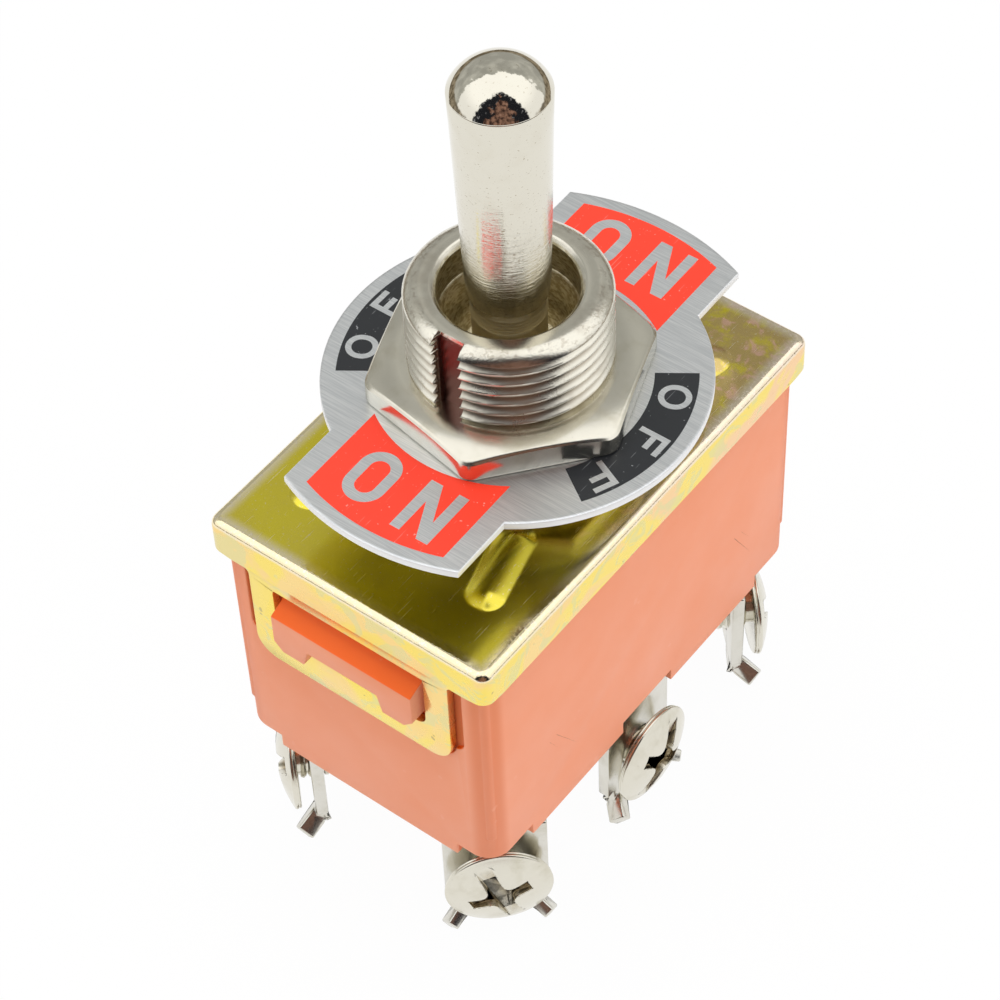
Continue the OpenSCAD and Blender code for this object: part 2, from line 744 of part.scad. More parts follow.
module corner_terminal(x, y) {
    neck = rotate_point([corner_reach - term_t / 2, -corner_shift], -45);
    run = [pole_x, -contact_y] - neck;
    color("silver") {
        corner_place(x, y) {
            terminal_plate();
            translate([-term_t / 2, 0, 0]) box(term_t, neck_w, floor_low - 0.5, tab_top);
        }
        mirror([x < 0 ? 1 : 0, 0, 0]) mirror([0, y > 0 ? 1 : 0, 0]) {
            translate([pole_x, -contact_y, tab_top - saddle_t]) cylinder(r = button_r + 0.3, h = saddle_t);
            translate([neck[0], neck[1], 0]) rotate([0, 0, atan2(run[1], run[0])])
                translate([norm(run) / 2, 0, 0]) box(norm(run), neck_w, tab_top - saddle_t, tab_top);
        }
    }
}

function rotate_point(p, a) = [p[0] * cos(a) - p[1] * sin(a), p[0] * sin(a) + p[1] * cos(a)];

module common_terminal(side) {
    outer = ring_hold + saddle_t;
    color("silver") mirror([side == "left" ? 1 : 0, 0, 0]) {
        translate([middle_reach, 0, 0]) terminal_plate();
        translate([(middle_neck + middle_reach) / 2, 0, floor_low - seat_clear])
            box(middle_reach - middle_neck, neck_w, -common_step, 0);
        translate([middle_neck + term_t / 2, 0, 0]) box(term_t, neck_w, floor_low - 0.5, saddle_base);
        translate([(pole_x - outer + middle_neck + term_t) / 2, 0, 0])
            box(middle_neck + term_t - pole_x + outer, neck_w, saddle_base - saddle_t, saddle_base);
        for (x = [-1, 1]) difference() {
            translate([pole_x + x * (ring_hold + saddle_t / 2), 0, 0])
                box(saddle_t, neck_w, saddle_base - eps, saddle_top);
            translate([pole_x, 0, trunnion_z]) rotate([0, 90, 0])
                cylinder(r = trunnion_r + run_clear, h = 10, center = true);
            translate([pole_x, 0, 0]) box(10, 2 * (trunnion_r + run_clear), trunnion_z, saddle_top + 1);
        }
    }
}

// Rivet-shaped fixed contact on a terminal's tab
module fixed_contact(x, y) {
    color("white") translate([x * pole_x, y * contact_y, tab_top]) cylinder(r = button_r, h = fixed_h);
}

// Binding-head screw, its axis along +X and its plate's outer face at x = 0
module screw() {
    shank = head_gap + term_t + 1.2;
    dome_r = (head_dome * head_dome + head_d * head_d / 4) / (2 * head_dome);
    translate([0, 0, screw_z]) difference() {
        rotate([0, 90, 0]) {
            translate([0, 0, head_gap - shank]) cylinder(d = screw_d, h = shank + eps);
            translate([0, 0, head_gap]) rotate_extrude() {
                square([head_d / 2, head_rim]);
                intersection() {
                    translate([0, head_rim + head_dome - dome_r]) circle(dome_r, $fn = 128);
                    translate([0, head_rim - eps]) square([head_d / 2, head_dome + 1]);
                }
            }
        }
        translate([head_gap + head_rim + head_dome - recess_depth + 1, 0, 0]) rotate([recess_turn, 0, 0]) {
            cube([2, slot_w, head_d + 1], center = true);
            cube([2, head_d / 2, slot_w], center = true);
        }
    }
}

module corner_screw(x, y) {
    color("lightgray") corner_place(x, y) screw();
}

module common_screw(side) {
    color("lightgray") mirror([side == "left" ? 1 : 0, 0, 0]) translate([middle_reach, 0, 0]) screw();
}

housing();
lid();
bushing();
seat_ring();
back_nut();
lock_washer();
indicator_plate();
front_nut();
lever();
pivot_pin();
carrier();
plunger("left");  // left_plunger
plunger("right");  // right_plunger
spring("left");  // left_spring
spring("right");  // right_spring
rocker("left");  // left_rocker
rocker("right");  // right_rocker
common_terminal("left");  // left_common_terminal
common_terminal("right");  // right_common_terminal
corner_terminal(-1, -1);  // left_front_terminal
corner_terminal(1, -1);  // right_front_terminal
corner_terminal(-1, 1);  // left_rear_terminal
corner_terminal(1, 1);  // right_rear_terminal
fixed_contact(-1, -1);  // left_front_contact
fixed_contact(1, -1);  // right_front_contact
fixed_contact(-1, 1);  // left_rear_contact
fixed_contact(1, 1);  // right_rear_contact
common_screw("left");  // left_common_screw
common_screw("right");  // right_common_screw
corner_screw(-1, -1);  // left_front_screw
corner_screw(1, -1);  // right_front_screw
corner_screw(-1, 1);  // left_rear_screw
corner_screw(1, 1);  // right_rear_screw
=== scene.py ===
import bpy
import bmesh
import math
from mathutils import Matrix, Vector


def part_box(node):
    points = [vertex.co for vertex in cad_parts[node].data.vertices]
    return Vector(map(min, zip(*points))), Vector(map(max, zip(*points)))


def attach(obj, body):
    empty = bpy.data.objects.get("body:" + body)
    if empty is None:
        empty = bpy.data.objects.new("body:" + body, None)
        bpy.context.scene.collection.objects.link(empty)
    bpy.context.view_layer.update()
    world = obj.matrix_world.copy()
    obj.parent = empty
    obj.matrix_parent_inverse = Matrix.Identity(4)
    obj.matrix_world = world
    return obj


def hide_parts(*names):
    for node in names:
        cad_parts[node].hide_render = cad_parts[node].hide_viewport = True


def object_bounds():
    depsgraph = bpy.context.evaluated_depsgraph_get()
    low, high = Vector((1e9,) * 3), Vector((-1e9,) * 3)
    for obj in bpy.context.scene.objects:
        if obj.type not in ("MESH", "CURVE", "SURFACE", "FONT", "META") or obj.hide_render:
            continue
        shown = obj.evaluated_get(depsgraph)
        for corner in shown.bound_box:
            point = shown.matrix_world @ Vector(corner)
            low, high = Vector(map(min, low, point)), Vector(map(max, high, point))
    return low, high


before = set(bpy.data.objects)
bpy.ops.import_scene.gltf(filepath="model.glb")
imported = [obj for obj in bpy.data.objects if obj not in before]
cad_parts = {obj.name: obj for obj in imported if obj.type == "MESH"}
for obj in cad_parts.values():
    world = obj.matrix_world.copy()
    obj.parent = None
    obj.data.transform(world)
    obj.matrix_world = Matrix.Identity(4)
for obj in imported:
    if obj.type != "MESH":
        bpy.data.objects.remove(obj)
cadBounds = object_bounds()
mm = 0.001
sameSpot, cadSameSpot = 1e-7, 2e-6  # in metres
print("stage: frame loaded")

# ---------- small tools for meshes ----------


def link(obj):
    bpy.context.scene.collection.objects.link(obj)
    return obj


def shadeByAngle(mesh, degrees):
    mesh.shade_smooth()
    mesh.set_sharp_from_angle(angle=math.radians(degrees))


def cleaned(mesh, gap, flatten=False):  # doubles merged, normals outwards
    tidy = bmesh.new()
    tidy.from_mesh(mesh)
    bmesh.ops.remove_doubles(tidy, verts=tidy.verts, dist=gap)
    if flatten:
        bmesh.ops.dissolve_limit(tidy, angle_limit=math.radians(1), verts=tidy.verts, edges=tidy.edges)
    bmesh.ops.recalc_face_normals(tidy, faces=tidy.faces)
    tidy.to_mesh(mesh)
    tidy.free()


def meshPiece(name, points, faces, smoothAngle=35):  # points in mm
    mesh = bpy.data.meshes.new(name)
    mesh.from_pydata([tuple(c * mm for c in p) for p in points], [], faces)
    cleaned(mesh, sameSpot)
    shadeByAngle(mesh, smoothAngle)
    return link(bpy.data.objects.new(name, mesh))


def baked(obj, smoothAngle=35):  # modifiers applied, as a plain mesh
    depsgraph = bpy.context.evaluated_depsgraph_get()
    mesh = bpy.data.meshes.new_from_object(obj.evaluated_get(depsgraph))
    obj.modifiers.clear()
    shadeByAngle(mesh, smoothAngle)
    if obj.type == "MESH":
        obj.data = mesh
        return obj
    name = obj.name
    bpy.data.objects.remove(obj)
    return link(bpy.data.objects.new(name, mesh))


def roundEdges(obj, width, segments=2, angle=32):  # width in mm
    bevel = obj.modifiers.new("edges", "BEVEL")
    bevel.width = width * mm
    bevel.segments = segments
    bevel.limit_method = "ANGLE"
    bevel.angle_limit = math.radians(angle)
    bevel.use_clamp_overlap = False
    return baked(obj)


def softCopy(node, name, width, segments=2):  # a CAD node's form with its edges broken
    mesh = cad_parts[node].data.copy()
    mesh.materials.clear()
    cleaned(mesh, cadSameSpot, flatten=True)
    mesh.name = name
    obj = link(bpy.data.objects.new(name, mesh))
    return roundEdges(obj, width, segments) if width else obj


def joined(name, pieces):  # several objects become one
    tidy = bmesh.new()
    for piece in pieces:
        tidy.from_mesh(piece.data)
    mesh = bpy.data.meshes.new(name)
    tidy.to_mesh(mesh)
    tidy.free()
    shadeByAngle(mesh, 35)
    for piece in pieces:
        bpy.data.objects.remove(piece)
    return link(bpy.data.objects.new(name, mesh))


def bandFaces(rows, count, closed=True):  # from ring to ring, and from the last back to the first if closed
    faces = []
    for i in range(rows if closed else rows - 1):
        for j in range(count):
            k, h = (j + 1) % count, (i + 1) % rows
            faces.append((i * count + j, i * count + k, h * count + k, h * count + j))
    return faces


def turned(name, rings, count=128, shape=None, angles=None, smoothAngle=35):
    # a closed turning: rings are (radius, height) round the section, shape may change a point by its angle
    angles = angles or [math.tau * i / count for i in range(count)]
    points = []
    for r, z in rings:
        for a in angles:
            rr, zz = shape(r, z, a) if shape else (r, z)
            points.append((rr * math.cos(a), rr * math.sin(a), zz))
    return meshPiece(name, points, bandFaces(len(rings), len(angles)), smoothAngle)


def solidOfTurning(name, profile, count=96, smoothAngle=35):  # first and last points lie on the axis
    angles = [math.tau * i / count for i in range(count)]
    points = [(r * math.cos(a), r * math.sin(a), z) for r, z in profile[1:-1] for a in angles]
    rows = len(profile) - 2
    faces = bandFaces(rows, count, closed=False)
    low, high = len(points), len(points) + 1
    points += [(0, 0, profile[0][1]), (0, 0, profile[-1][1])]
    for j in range(count):
        k = (j + 1) % count
        faces += [(low, k, j), (high, (rows - 1) * count + j, (rows - 1) * count + k)]
    return meshPiece(name, points, faces, smoothAngle)


def arc(centre, radius, start, end, steps):  # points of an arc in a section, angles in degrees
    turn = [math.radians(start + (end - start) * i / steps) for i in range(steps + 1)]
    return [(centre[0] + radius * math.cos(t), centre[1] + radius * math.sin(t)) for t in turn]


def slab(name, outline, low, high, holes=(), smoothAngle=35):  # flat outline in mm with optional holes
    curve = bpy.data.curves.new(name, "CURVE")
    curve.dimensions = "2D"
    curve.fill_mode = "BOTH"
    curve.extrude = (high - low) / 2 * mm
    for loop in (outline,) + tuple(holes):
        spline = curve.splines.new("POLY")
        spline.points.add(len(loop) - 1)
        for point, (x, y) in zip(spline.points, loop):
            point.co = (x * mm, y * mm, 0, 1)
        spline.use_cyclic_u = True
    obj = baked(link(bpy.data.objects.new(name, curve)), smoothAngle)
    obj.data.transform(Matrix.Translation((0, 0, (high + low) / 2 * mm)))
    cleaned(obj.data, sameSpot)
    return obj


def place(obj, matrix):  # moves the mesh itself, so that the object stays at the origin
    obj.data.transform(matrix)
    if matrix.determinant() < 0:
        obj.data.flip_normals()
    return obj


def pieceName(node):
    return node.replace("_", " ").title().replace(" ", "")


def fit(obj, body, slotName, material, *nodes):
    obj.data.materials.clear()
    obj.data.materials.append(material)
    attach(obj, body)
    if nodes:
        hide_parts(*nodes)
    return obj


# ---------- shader maths ----------


class Wire:  # one output socket that takes part in sums
    def __init__(self, graph, socket):
        self.graph = graph
        self.socket = socket

    def maths(self, kind, *others):
        return self.graph.node("Math", {"operation": kind}, dict(enumerate((self,) + others)))

    def __add__(self, other):
        return self.maths("ADD", other)

    def __sub__(self, other):
        return self.maths("SUBTRACT", other)

    def __mul__(self, other):
        return self.maths("MULTIPLY", other)

    def __rsub__(self, other):
        return self.graph.node("Math", {"operation": "SUBTRACT"}, {0: other, 1: self})

    __radd__ = __add__
    __rmul__ = __mul__

    def __abs__(self):
        return self.maths("ABSOLUTE")

    def top(self, other):  # the larger of two
        return self.maths("MAXIMUM", other)

    def rise(self, low, high):  # 0 below low, 1 above high, smooth between
        return self.graph.node("MapRange", {"interpolation_type": "SMOOTHSTEP"},
                               {"Value": self, "From Min": low, "From Max": high})


class Graph:  # a tree of shader nodes
    def __init__(self, tree):
        self.tree = tree
        tree.nodes.clear()

    def node(self, kind, settings=None, sockets=None, output=0):
        made = self.tree.nodes.new("ShaderNode" + kind)
        for key, value in (settings or {}).items():
            setattr(made, key, value)
        for key, value in (sockets or {}).items():
            self.plug(made.inputs[key], value)
        return Wire(self, made.outputs[output])

    def plug(self, socket, value):
        if isinstance(value, Wire):
            self.tree.links.new(value.socket, socket)
        elif socket.type == "RGBA":
            socket.default_value = (*value, 1)
        else:
            socket.default_value = value

    def mix(self, amount, first, second, kind="MIX"):  # of two colours
        made = self.tree.nodes.new("ShaderNodeMix")
        made.data_type = "RGBA"
        made.blend_type = kind
        for i, value in ((0, amount), (6, first), (7, second)):
            self.plug(made.inputs[i], value)
        return Wire(self, made.outputs[2])

    def split(self, vector):  # three numbers of a vector
        made = self.tree.nodes.new("ShaderNodeSeparateXYZ")
        self.plug(made.inputs[0], vector)
        return [Wire(self, made.outputs[i]) for i in range(3)]


class Shade(Graph):  # one material
    def __init__(self, name, roughness=0.5, metallic=0.0, **fixed):
        self.material = bpy.data.materials.new(name)
        self.material.use_nodes = True
        super().__init__(self.material.node_tree)
        self.surface = self.tree.nodes.new("ShaderNodeBsdfPrincipled")
        output = self.tree.nodes.new("ShaderNodeOutputMaterial")
        self.tree.links.new(self.surface.outputs[0], output.inputs[0])
        self.surface.inputs["Roughness"].default_value = roughness
        self.surface.inputs["Metallic"].default_value = metallic
        for key, value in fixed.items():
            self.surface.inputs[key.replace("_", " ")].default_value = value
        self.place = self.node("TexCoord", {}, {}, "Object")
        self.x, self.y, self.z = [value * 1000.0 for value in self.split(self.place)]  # in mm

    def facing(self):  # three numbers of the surface's own direction
        return self.split(self.node("TexCoord", {}, {}, "Normal"))

    def radius(self):  # distance from the switch's axis in mm
        return (self.x * self.x + self.y * self.y).maths("SQRT")

    def noise(self, size, detail=3, rough=0.5, stretch=(1, 1, 1), turn=(0, 0, 0), twist=0.0):
        where = self.place
        if stretch != (1, 1, 1):
            where = self.node("Mapping", {}, {"Vector": where, "Scale": stretch, "Rotation": turn})
        return self.node("TexNoise", {}, {"Vector": where, "Scale": 1 / (size * mm), "Detail": detail,
                                          "Roughness": rough, "Distortion": twist})  # size in mm

    def scratches(self, turn, density=0.72, length=0.35):  # thin marks along one direction
        lines = self.noise(1.0, 2, 0.5, (10, length, 10), (0, 0, turn))
        return lines.rise(density, density + 0.025)

    def bump(self, height, depth, strength=1.0):  # depth in mm
        return self.node("Bump", {}, {"Height": height, "Distance": depth * mm, "Strength": strength})

    def finish(self, colour=None, roughness=None, normal=None):
        for key, value in {"Base Color": colour, "Roughness": roughness, "Normal": normal}.items():
            if value is not None:
                self.plug(self.surface.inputs[key], value)
        return self.material


def thermosetMoulding():
    # the face colour is partly a painted sheen and partly dusty powder; the corner and pocket colours are
    # painted shade
    look = {"face": (0.89, 0.315, 0.165), "chalk": (0.92, 0.40, 0.26), "corner": (0.80, 0.235, 0.10),
            "upward": (1.0, 0.155, 0.018), "pocket": (0.72, 0.16, 0.055)}
    s = Shade("thermosetMoulding", 0.42, 0.0, Specular_IOR_Level=0.3)
    cloud = s.noise(6, 3, 0.55).rise(0.3, 0.75)
    dot = s.noise(0.9, 1, 0.4).rise(0.75, 0.79)
    colour = s.mix(cloud * 0.3, look["face"], look["chalk"])
    # painted shade: the rounded upright corners are darkened to a deeper orange
    overX, overY = abs(s.x) - (housingHigh[0] - 1.7), abs(s.y) - (lidHigh[1] - 2.1)
    cornerShadeMask = overX.rise(0.0, 0.75) * overY.rise(0.0, 0.75)
    colour = s.mix(cornerShadeMask * 0.8, colour, look["corner"])
    # painted shade: the pocket beside each latch ear is painted a darker orange
    pocketFrom, pocketTo, pocketHalf = 14.2, 15.38, 8.4
    pocketShadeMask = (abs(s.y) * -1.0).rise(-pocketTo, -15.3) * abs(s.y).rise(pocketFrom, 14.3)
    pocketShadeMask = pocketShadeMask * (pocketHalf - abs(s.x)).rise(0.0, 0.2)
    colour = s.mix(pocketShadeMask, colour, look["pocket"])
    # painted sheen: faces turned up get the saturated orange, while the other faces keep the paler colour,
    # partly a painted sheen like the floor's reflection and partly dusty powder
    colour = s.mix(s.facing()[2].rise(0.2, 0.7), colour, look["upward"])
    colour = s.mix(dot * 0.35, colour, look["chalk"])
    rough = 0.36 + s.noise(2.2, 3, 0.6) * 0.16
    return s.finish(colour, rough, s.bump(s.noise(0.25, 2, 0.6), 0.006, 0.5))


def yellowPassivate():
    # the worn tint stands for real scratches and specks, and also for a painted highlight on the bend
    tints = {"olive": (0.84, 0.72, 0.065), "brown": (0.62, 0.46, 0.20), "straw": (0.98, 0.77, 0.17),
             "rose": (0.97, 0.60, 0.47), "leaf": (0.74, 0.72, 0.36), "worn": (1.0, 0.90, 0.78),
             "stain": (0.30, 0.26, 0.16)}
    s = Shade("yellowPassivate", 0.2, 1.0)
    onTop = s.z.rise(lidTop - 0.5, lidTop - 0.1)
    away = (s.x * 0.05 + s.y * 0.045).rise(-0.1, 0.9)  # the film is thicker towards one corner
    broad, patch = s.noise(5.5, 3, 0.5, twist=0.8), s.noise(2.4, 3, 0.55, (1, 1, 1.3), twist=1.2)
    onSide = s.mix(broad.rise(0.44, 0.56) * (0.35 + away * 0.3), tints["straw"], tints["rose"])
    onSide = s.mix(patch.rise(0.54, 0.62) * 0.6, onSide, tints["leaf"])
    mottle = s.noise(1.3, 4, 0.65)
    browned = broad.rise(0.35, 0.65) * 0.15 + away * mottle.rise(0.30, 0.55) * 0.85
    above = s.mix(browned, tints["olive"], tints["brown"])
    above = s.mix(s.noise(0.9, 3, 0.6, twist=0.5).rise(0.50, 0.66) * away * 0.75, above, tints["rose"])
    colour = s.mix(onTop, onSide, above)
    overX, overY = abs(s.x) - (lidHigh[0] - 0.9), abs(s.y) - (lidHalfY - 0.9)
    onBend = overX.top(overY).rise(-0.3, 0.5) * s.z.rise(lidTop - 0.5, lidTop - 0.3)
    scuff = s.noise(0.22, 3, 0.75).rise(0.52, 0.64)
    # painted highlight: the bend along the lid's top edge is painted in the pale worn tint, a little more
    # where it is scuffed
    colour = s.mix(onBend * (0.65 + scuff * 0.25), colour, tints["worn"])
    scratch = s.scratches(0.5, 0.70) + s.scratches(-0.7, 0.70, 0.3) + s.scratches(1.9, 0.71, 0.4)
    speck = s.noise(0.16, 2, 0.6).rise(0.65, 0.70)
    colour = s.mix((scratch + speck) * 0.45 * onTop, colour, tints["worn"])
    stain = s.noise(0.7, 2, 0.5).rise(0.72, 0.76) * (1 - onTop)
    colour = s.mix(stain * 0.5, colour, tints["stain"])
    rough = (0.15 + s.noise(2.5, 3, 0.6) * 0.14) * (1 - onBend * 0.6) + scratch * 0.15 + (1 - onTop) * 0.06
    height = s.noise(0.9, 2, 0.5) + scuff * onBend * 0.5
    return s.finish(colour, rough, s.bump(height, 0.008, 0.6))


def nickelPlate(name, roughness, grain, tone=(0.745, 0.715, 0.62)):
    s = Shade(name, roughness, 1.0)
    stain = s.noise(2.2, 3, 0.6)
    dull = tuple(c * k for c, k in zip(tone, (0.84, 0.82, 0.76)))
    colour = s.mix(stain.rise(0.45, 0.75) * 0.7, tone, dull)
    pitted = s.noise(0.16, 2, 0.6).rise(0.70, 0.74)
    colour = s.mix(pitted * 0.35, colour, (0.42, 0.38, 0.29))
    recess = s.node("Attribute", {"attribute_name": "recess"}, {}, "Fac")
    # partly painted shade and partly real dirt: the screwdriver's recess is darkened
    grimeAndShade = s.mix(s.noise(0.25, 3, 0.7).rise(0.35, 0.65), (0.28, 0.21, 0.11), (0.56, 0.47, 0.30))
    colour = s.mix(recess, colour, grimeAndShade)
    rough = roughness * 0.75 + stain * roughness * 0.5 + recess * 0.25
    return s.finish(colour, rough, s.bump(s.noise(0.28, 2, 0.6), grain, 0.6))


def bushingNickel():
    tints = {"clean": (0.76, 0.73, 0.635), "root": (0.40, 0.34, 0.26), "mouth": (0.86, 0.80, 0.62),
             "streak": (0.52, 0.45, 0.28), "keyway": (0.14, 0.06, 0.05)}
    s = Shade("bushingNickel", 0.2, 1.0)
    r = s.radius()
    stain = s.noise(2.2, 3, 0.6)
    colour = s.mix(stain.rise(0.45, 0.75) * 0.35, tints["clean"], tints["root"])
    # painted shade: the thread's roots are painted darker between the crests
    rootShadeMask = (5.90 - r).rise(0.06, 0.28) * (bushHigh[2] - 0.9 - s.z).rise(0.0, 0.1) * r.rise(5.4, 5.5)
    colour = s.mix(rootShadeMask * 0.85, colour, tints["root"])
    # painted light: the bore's mouth is painted lighter than the outside, with darker streaks in it
    inMouth = (4.2 - r).rise(0.0, 0.1)
    streak = s.noise(0.5, 3, 0.65, (1, 1, 3)).rise(0.40, 0.62)
    colour = s.mix(inMouth, colour, s.mix(streak, tints["mouth"], tints["streak"]))
    inKey = (0.95 - abs(s.x)).rise(0.0, 0.05) * (s.y * -1.0).rise(4.6, 4.7) * (5.45 - r).rise(0.0, 0.1)
    inKey = inKey * (bushHigh[2] - 0.25 - s.z).rise(0.0, 0.1)
    colour = s.mix(inKey, colour, tints["keyway"])
    onBevel = s.z.rise(bushHigh[2] - 0.7, bushHigh[2] - 0.5) * r.rise(4.9, 5.2)
    onThread = r.rise(5.5, 5.6) * (bushHigh[2] - 0.8 - s.z).rise(0.0, 0.1)
    # painted shade: ragged dark patches dim the rim's bevel
    ragged = s.noise(0.5, 4, 0.7, (1, 1, 2.5)).rise(0.52, 0.60)
    colour = s.mix(onBevel * ragged * 0.4, colour, tints["root"])
    height = s.noise(0.3, 2, 0.6) + s.noise(0.2, 3, 0.7, (1, 1, 1.6)) * (onBevel * 4.5 + onThread * 3.0)
    rough = 0.15 + stain * 0.1 + inKey * 0.1 + onThread * 0.08 + inMouth * 0.14
    return s.finish(colour, rough, s.bump(height, 0.003, 0.7))


def leverNickel():
    tints = {"clean": (0.745, 0.715, 0.62), "stain": (0.64, 0.59, 0.48), "pit": (0.36, 0.30, 0.21),
             "neck": (0.82, 0.73, 0.53)}
    s = Shade("leverNickel", 0.06, 1.0)
    lower = 1 - s.z.rise(7.5, 17.5)
    peel = s.noise(0.5, 2, 0.5, (1, 1, 0.6))
    lines = s.noise(0.42, 3, 0.65, (0.4, 0.4, 2.6))
    stain = s.noise(1.8, 3, 0.6).rise(0.45, 0.75)
    pits = s.noise(0.2, 2, 0.6, (1, 1, 1.5))
    colour = s.mix(stain * 0.25 + lower * 0.15, tints["clean"], tints["stain"])
    colour = s.mix((pits + lower * 0.06).rise(0.66, 0.72) * 0.55, colour, tints["pit"])
    onNeck = (5.3 - s.z).rise(0.0, 0.5)
    colour = s.mix(onNeck * (0.55 + pits * 0.6), colour, tints["neck"])
    height = peel + lines * lower * 9.0 + onNeck * s.noise(0.25, 2, 0.6, (0.6, 0.6, 3)) * 6.0
    rough = 0.05 + lower * 0.12 + stain * 0.02 + onNeck * 0.16
    return s.finish(colour, rough, s.bump(height, 0.004, 0.7))


def brushedAluminium():
    s = Shade("brushedAluminium", 0.34, 1.0)
    lines = s.noise(1.0, 3, 0.65, (0.35, 16, 16), (0, 0, 0.08))
    cloud = s.noise(5, 2).rise(0.5, 0.8)
    colour = s.mix(lines.rise(0.35, 0.7), (0.76, 0.785, 0.81), (0.95, 0.965, 0.98))
    colour = s.mix(cloud * 0.3, colour, (0.97, 0.98, 0.99))
    # painted highlight: faces turned sideways, such as the plate's edges, are painted near white
    onEdge = 1 - abs(s.facing()[2]).rise(0.3, 0.8)
    colour = s.mix(onEdge, colour, (0.97, 0.97, 0.97))
    return s.finish(colour, 0.3 + lines * 0.16 + onEdge * 0.2, s.bump(lines, 0.004, 0.5))


def printedInk(name, colour, chip):
    s = Shade(name, 0.32, 0.0, Specular_IOR_Level=0.4)
    worn = s.noise(0.22, 2, 0.6).rise(0.71, 0.73)
    tone = s.mix(s.noise(2.0, 2) * 0.3, colour, tuple(c * 0.88 for c in colour))
    tone = s.mix(worn * 0.8 + s.scratches(1.1, 0.70, 0.4) * 0.35, tone, chip)
    return s.finish(tone, 0.28 + s.noise(1.5, 2) * 0.12)


def phenolic():
    s = Shade("phenolic", 0.5)
    fibre = s.noise(0.6, 3, 0.6, (1, 6, 1))
    return s.finish(s.mix(fibre, (0.20, 0.09, 0.035), (0.34, 0.17, 0.07)), 0.45 + fibre * 0.2)


def plainMetal(name, bright, dull, size, roughness):
    s = Shade(name, roughness, 1.0)
    cloud = s.noise(size, 3)
    colour = s.mix(cloud.rise(0.35, 0.7), bright, dull)
    return s.finish(colour, roughness - 0.05 + cloud * 0.2, s.bump(s.noise(0.2, 2), 0.003, 0.5))


# ---------- heights, read from the frame in mm ----------


def span(node):
    low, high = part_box(node)
    return [v / mm for v in low], [v / mm for v in high]


plateLow, plateHigh = span("indicator_plate")
nutLow, nutHigh = span("front_nut")
backLow = span("back_nut")[0]
washerLow, washerHigh = span("lock_washer")
lidLow, lidHigh = span("lid")
housingHigh = span("housing")[1]
bushLow, bushHigh = span("bushing")
leverHigh = span("lever")[1]
pinLow, pinHigh = span("pivot_pin")
pivotHeight = (pinLow[2] + pinHigh[2]) / 2
lidTop = backLow[2] - 1.1
lidHalfY = lidHigh[1]

moulding = thermosetMoulding()
passivate = yellowPassivate()
turnedNickel = nickelPlate("turnedNickel", 0.20, 0.003)
stripNickel = nickelPlate("stripNickel", 0.24, 0.004, (0.72, 0.70, 0.635))
threadNickel = bushingNickel()
polishedNickel = leverNickel()
aluminium = brushedAluminium()
redInk = printedInk("redInk", (1.0, 0.055, 0.025), (0.95, 0.40, 0.35))
blackInk = printedInk("blackInk", (0.022, 0.024, 0.027), (0.42, 0.43, 0.44))
insulator = phenolic()
copper = plainMetal("copperAlloy", (0.85, 0.52, 0.26), (0.70, 0.44, 0.24), 2, 0.3)
silver = plainMetal("silverFace", (0.90, 0.89, 0.86), (0.74, 0.73, 0.70), 0.8, 0.25)
spring = plainMetal("springSteel", (0.56, 0.57, 0.58), (0.42, 0.42, 0.43), 0.6, 0.3)
print("stage: materials made")

# ---------- lid ----------

lidLook = {"sheet": 0.6, "bend": 0.5, "corner": 0.7, "flange": 2.6, "drape": -0.2, "ribHeight": 0.45,
           "ribWidth": 2.5, "ribStart": (5.3, 6.9), "ribEnd": (6.3, 10.9), "earWidth": 14.4, "earBar": 1.75,
           "earRound": 1.5, "fillet": 0.45, "hole": 4.95, "windowDrop": 0.7, "windowLow": 7.55,
           "windowRound": 0.7, "windowCorner": 0.25}


def roundedLoop(halfX, halfY, corner, cornerSteps, sideX, sideY):  # the same count of points for every size
    loop = []
    corners = [(1, 1, 0), (-1, 1, 90), (-1, -1, 180), (1, -1, 270)]
    for i, (sx, sy, start) in enumerate(corners):
        loop += arc((sx * (halfX - corner), sy * (halfY - corner)), corner, start, start + 90, cornerSteps)
        nx, ny, nextStart = corners[(i + 1) % 4]
        x0, y0 = loop[-1]
        x1, y1 = arc((nx * (halfX - corner), ny * (halfY - corner)), corner, nextStart, nextStart, 1)[0]
        steps = sideX if i % 2 == 0 else sideY
        loop += [(x0 + (x1 - x0) * k / steps, y0 + (y1 - y0) * k / steps) for k in range(1, steps)]
    return loop


def ribRise(x, y):  # height of the pressed ribs at a place on the lid
    look = lidLook
    (x0, y0), (x1, y1) = look["ribStart"], look["ribEnd"]
    px, py = abs(x) - x0, abs(y) - y0
    dx, dy = x1 - x0, y1 - y0
    along = max(0.0, min(1.0, (px * dx + py * dy) / (dx * dx + dy * dy)))
    away = math.hypot(px - along * dx, py - along * dy) / (look["ribWidth"] / 2)
    return look["ribHeight"] * max(0.0, 1 - away ** 2) ** 1.3


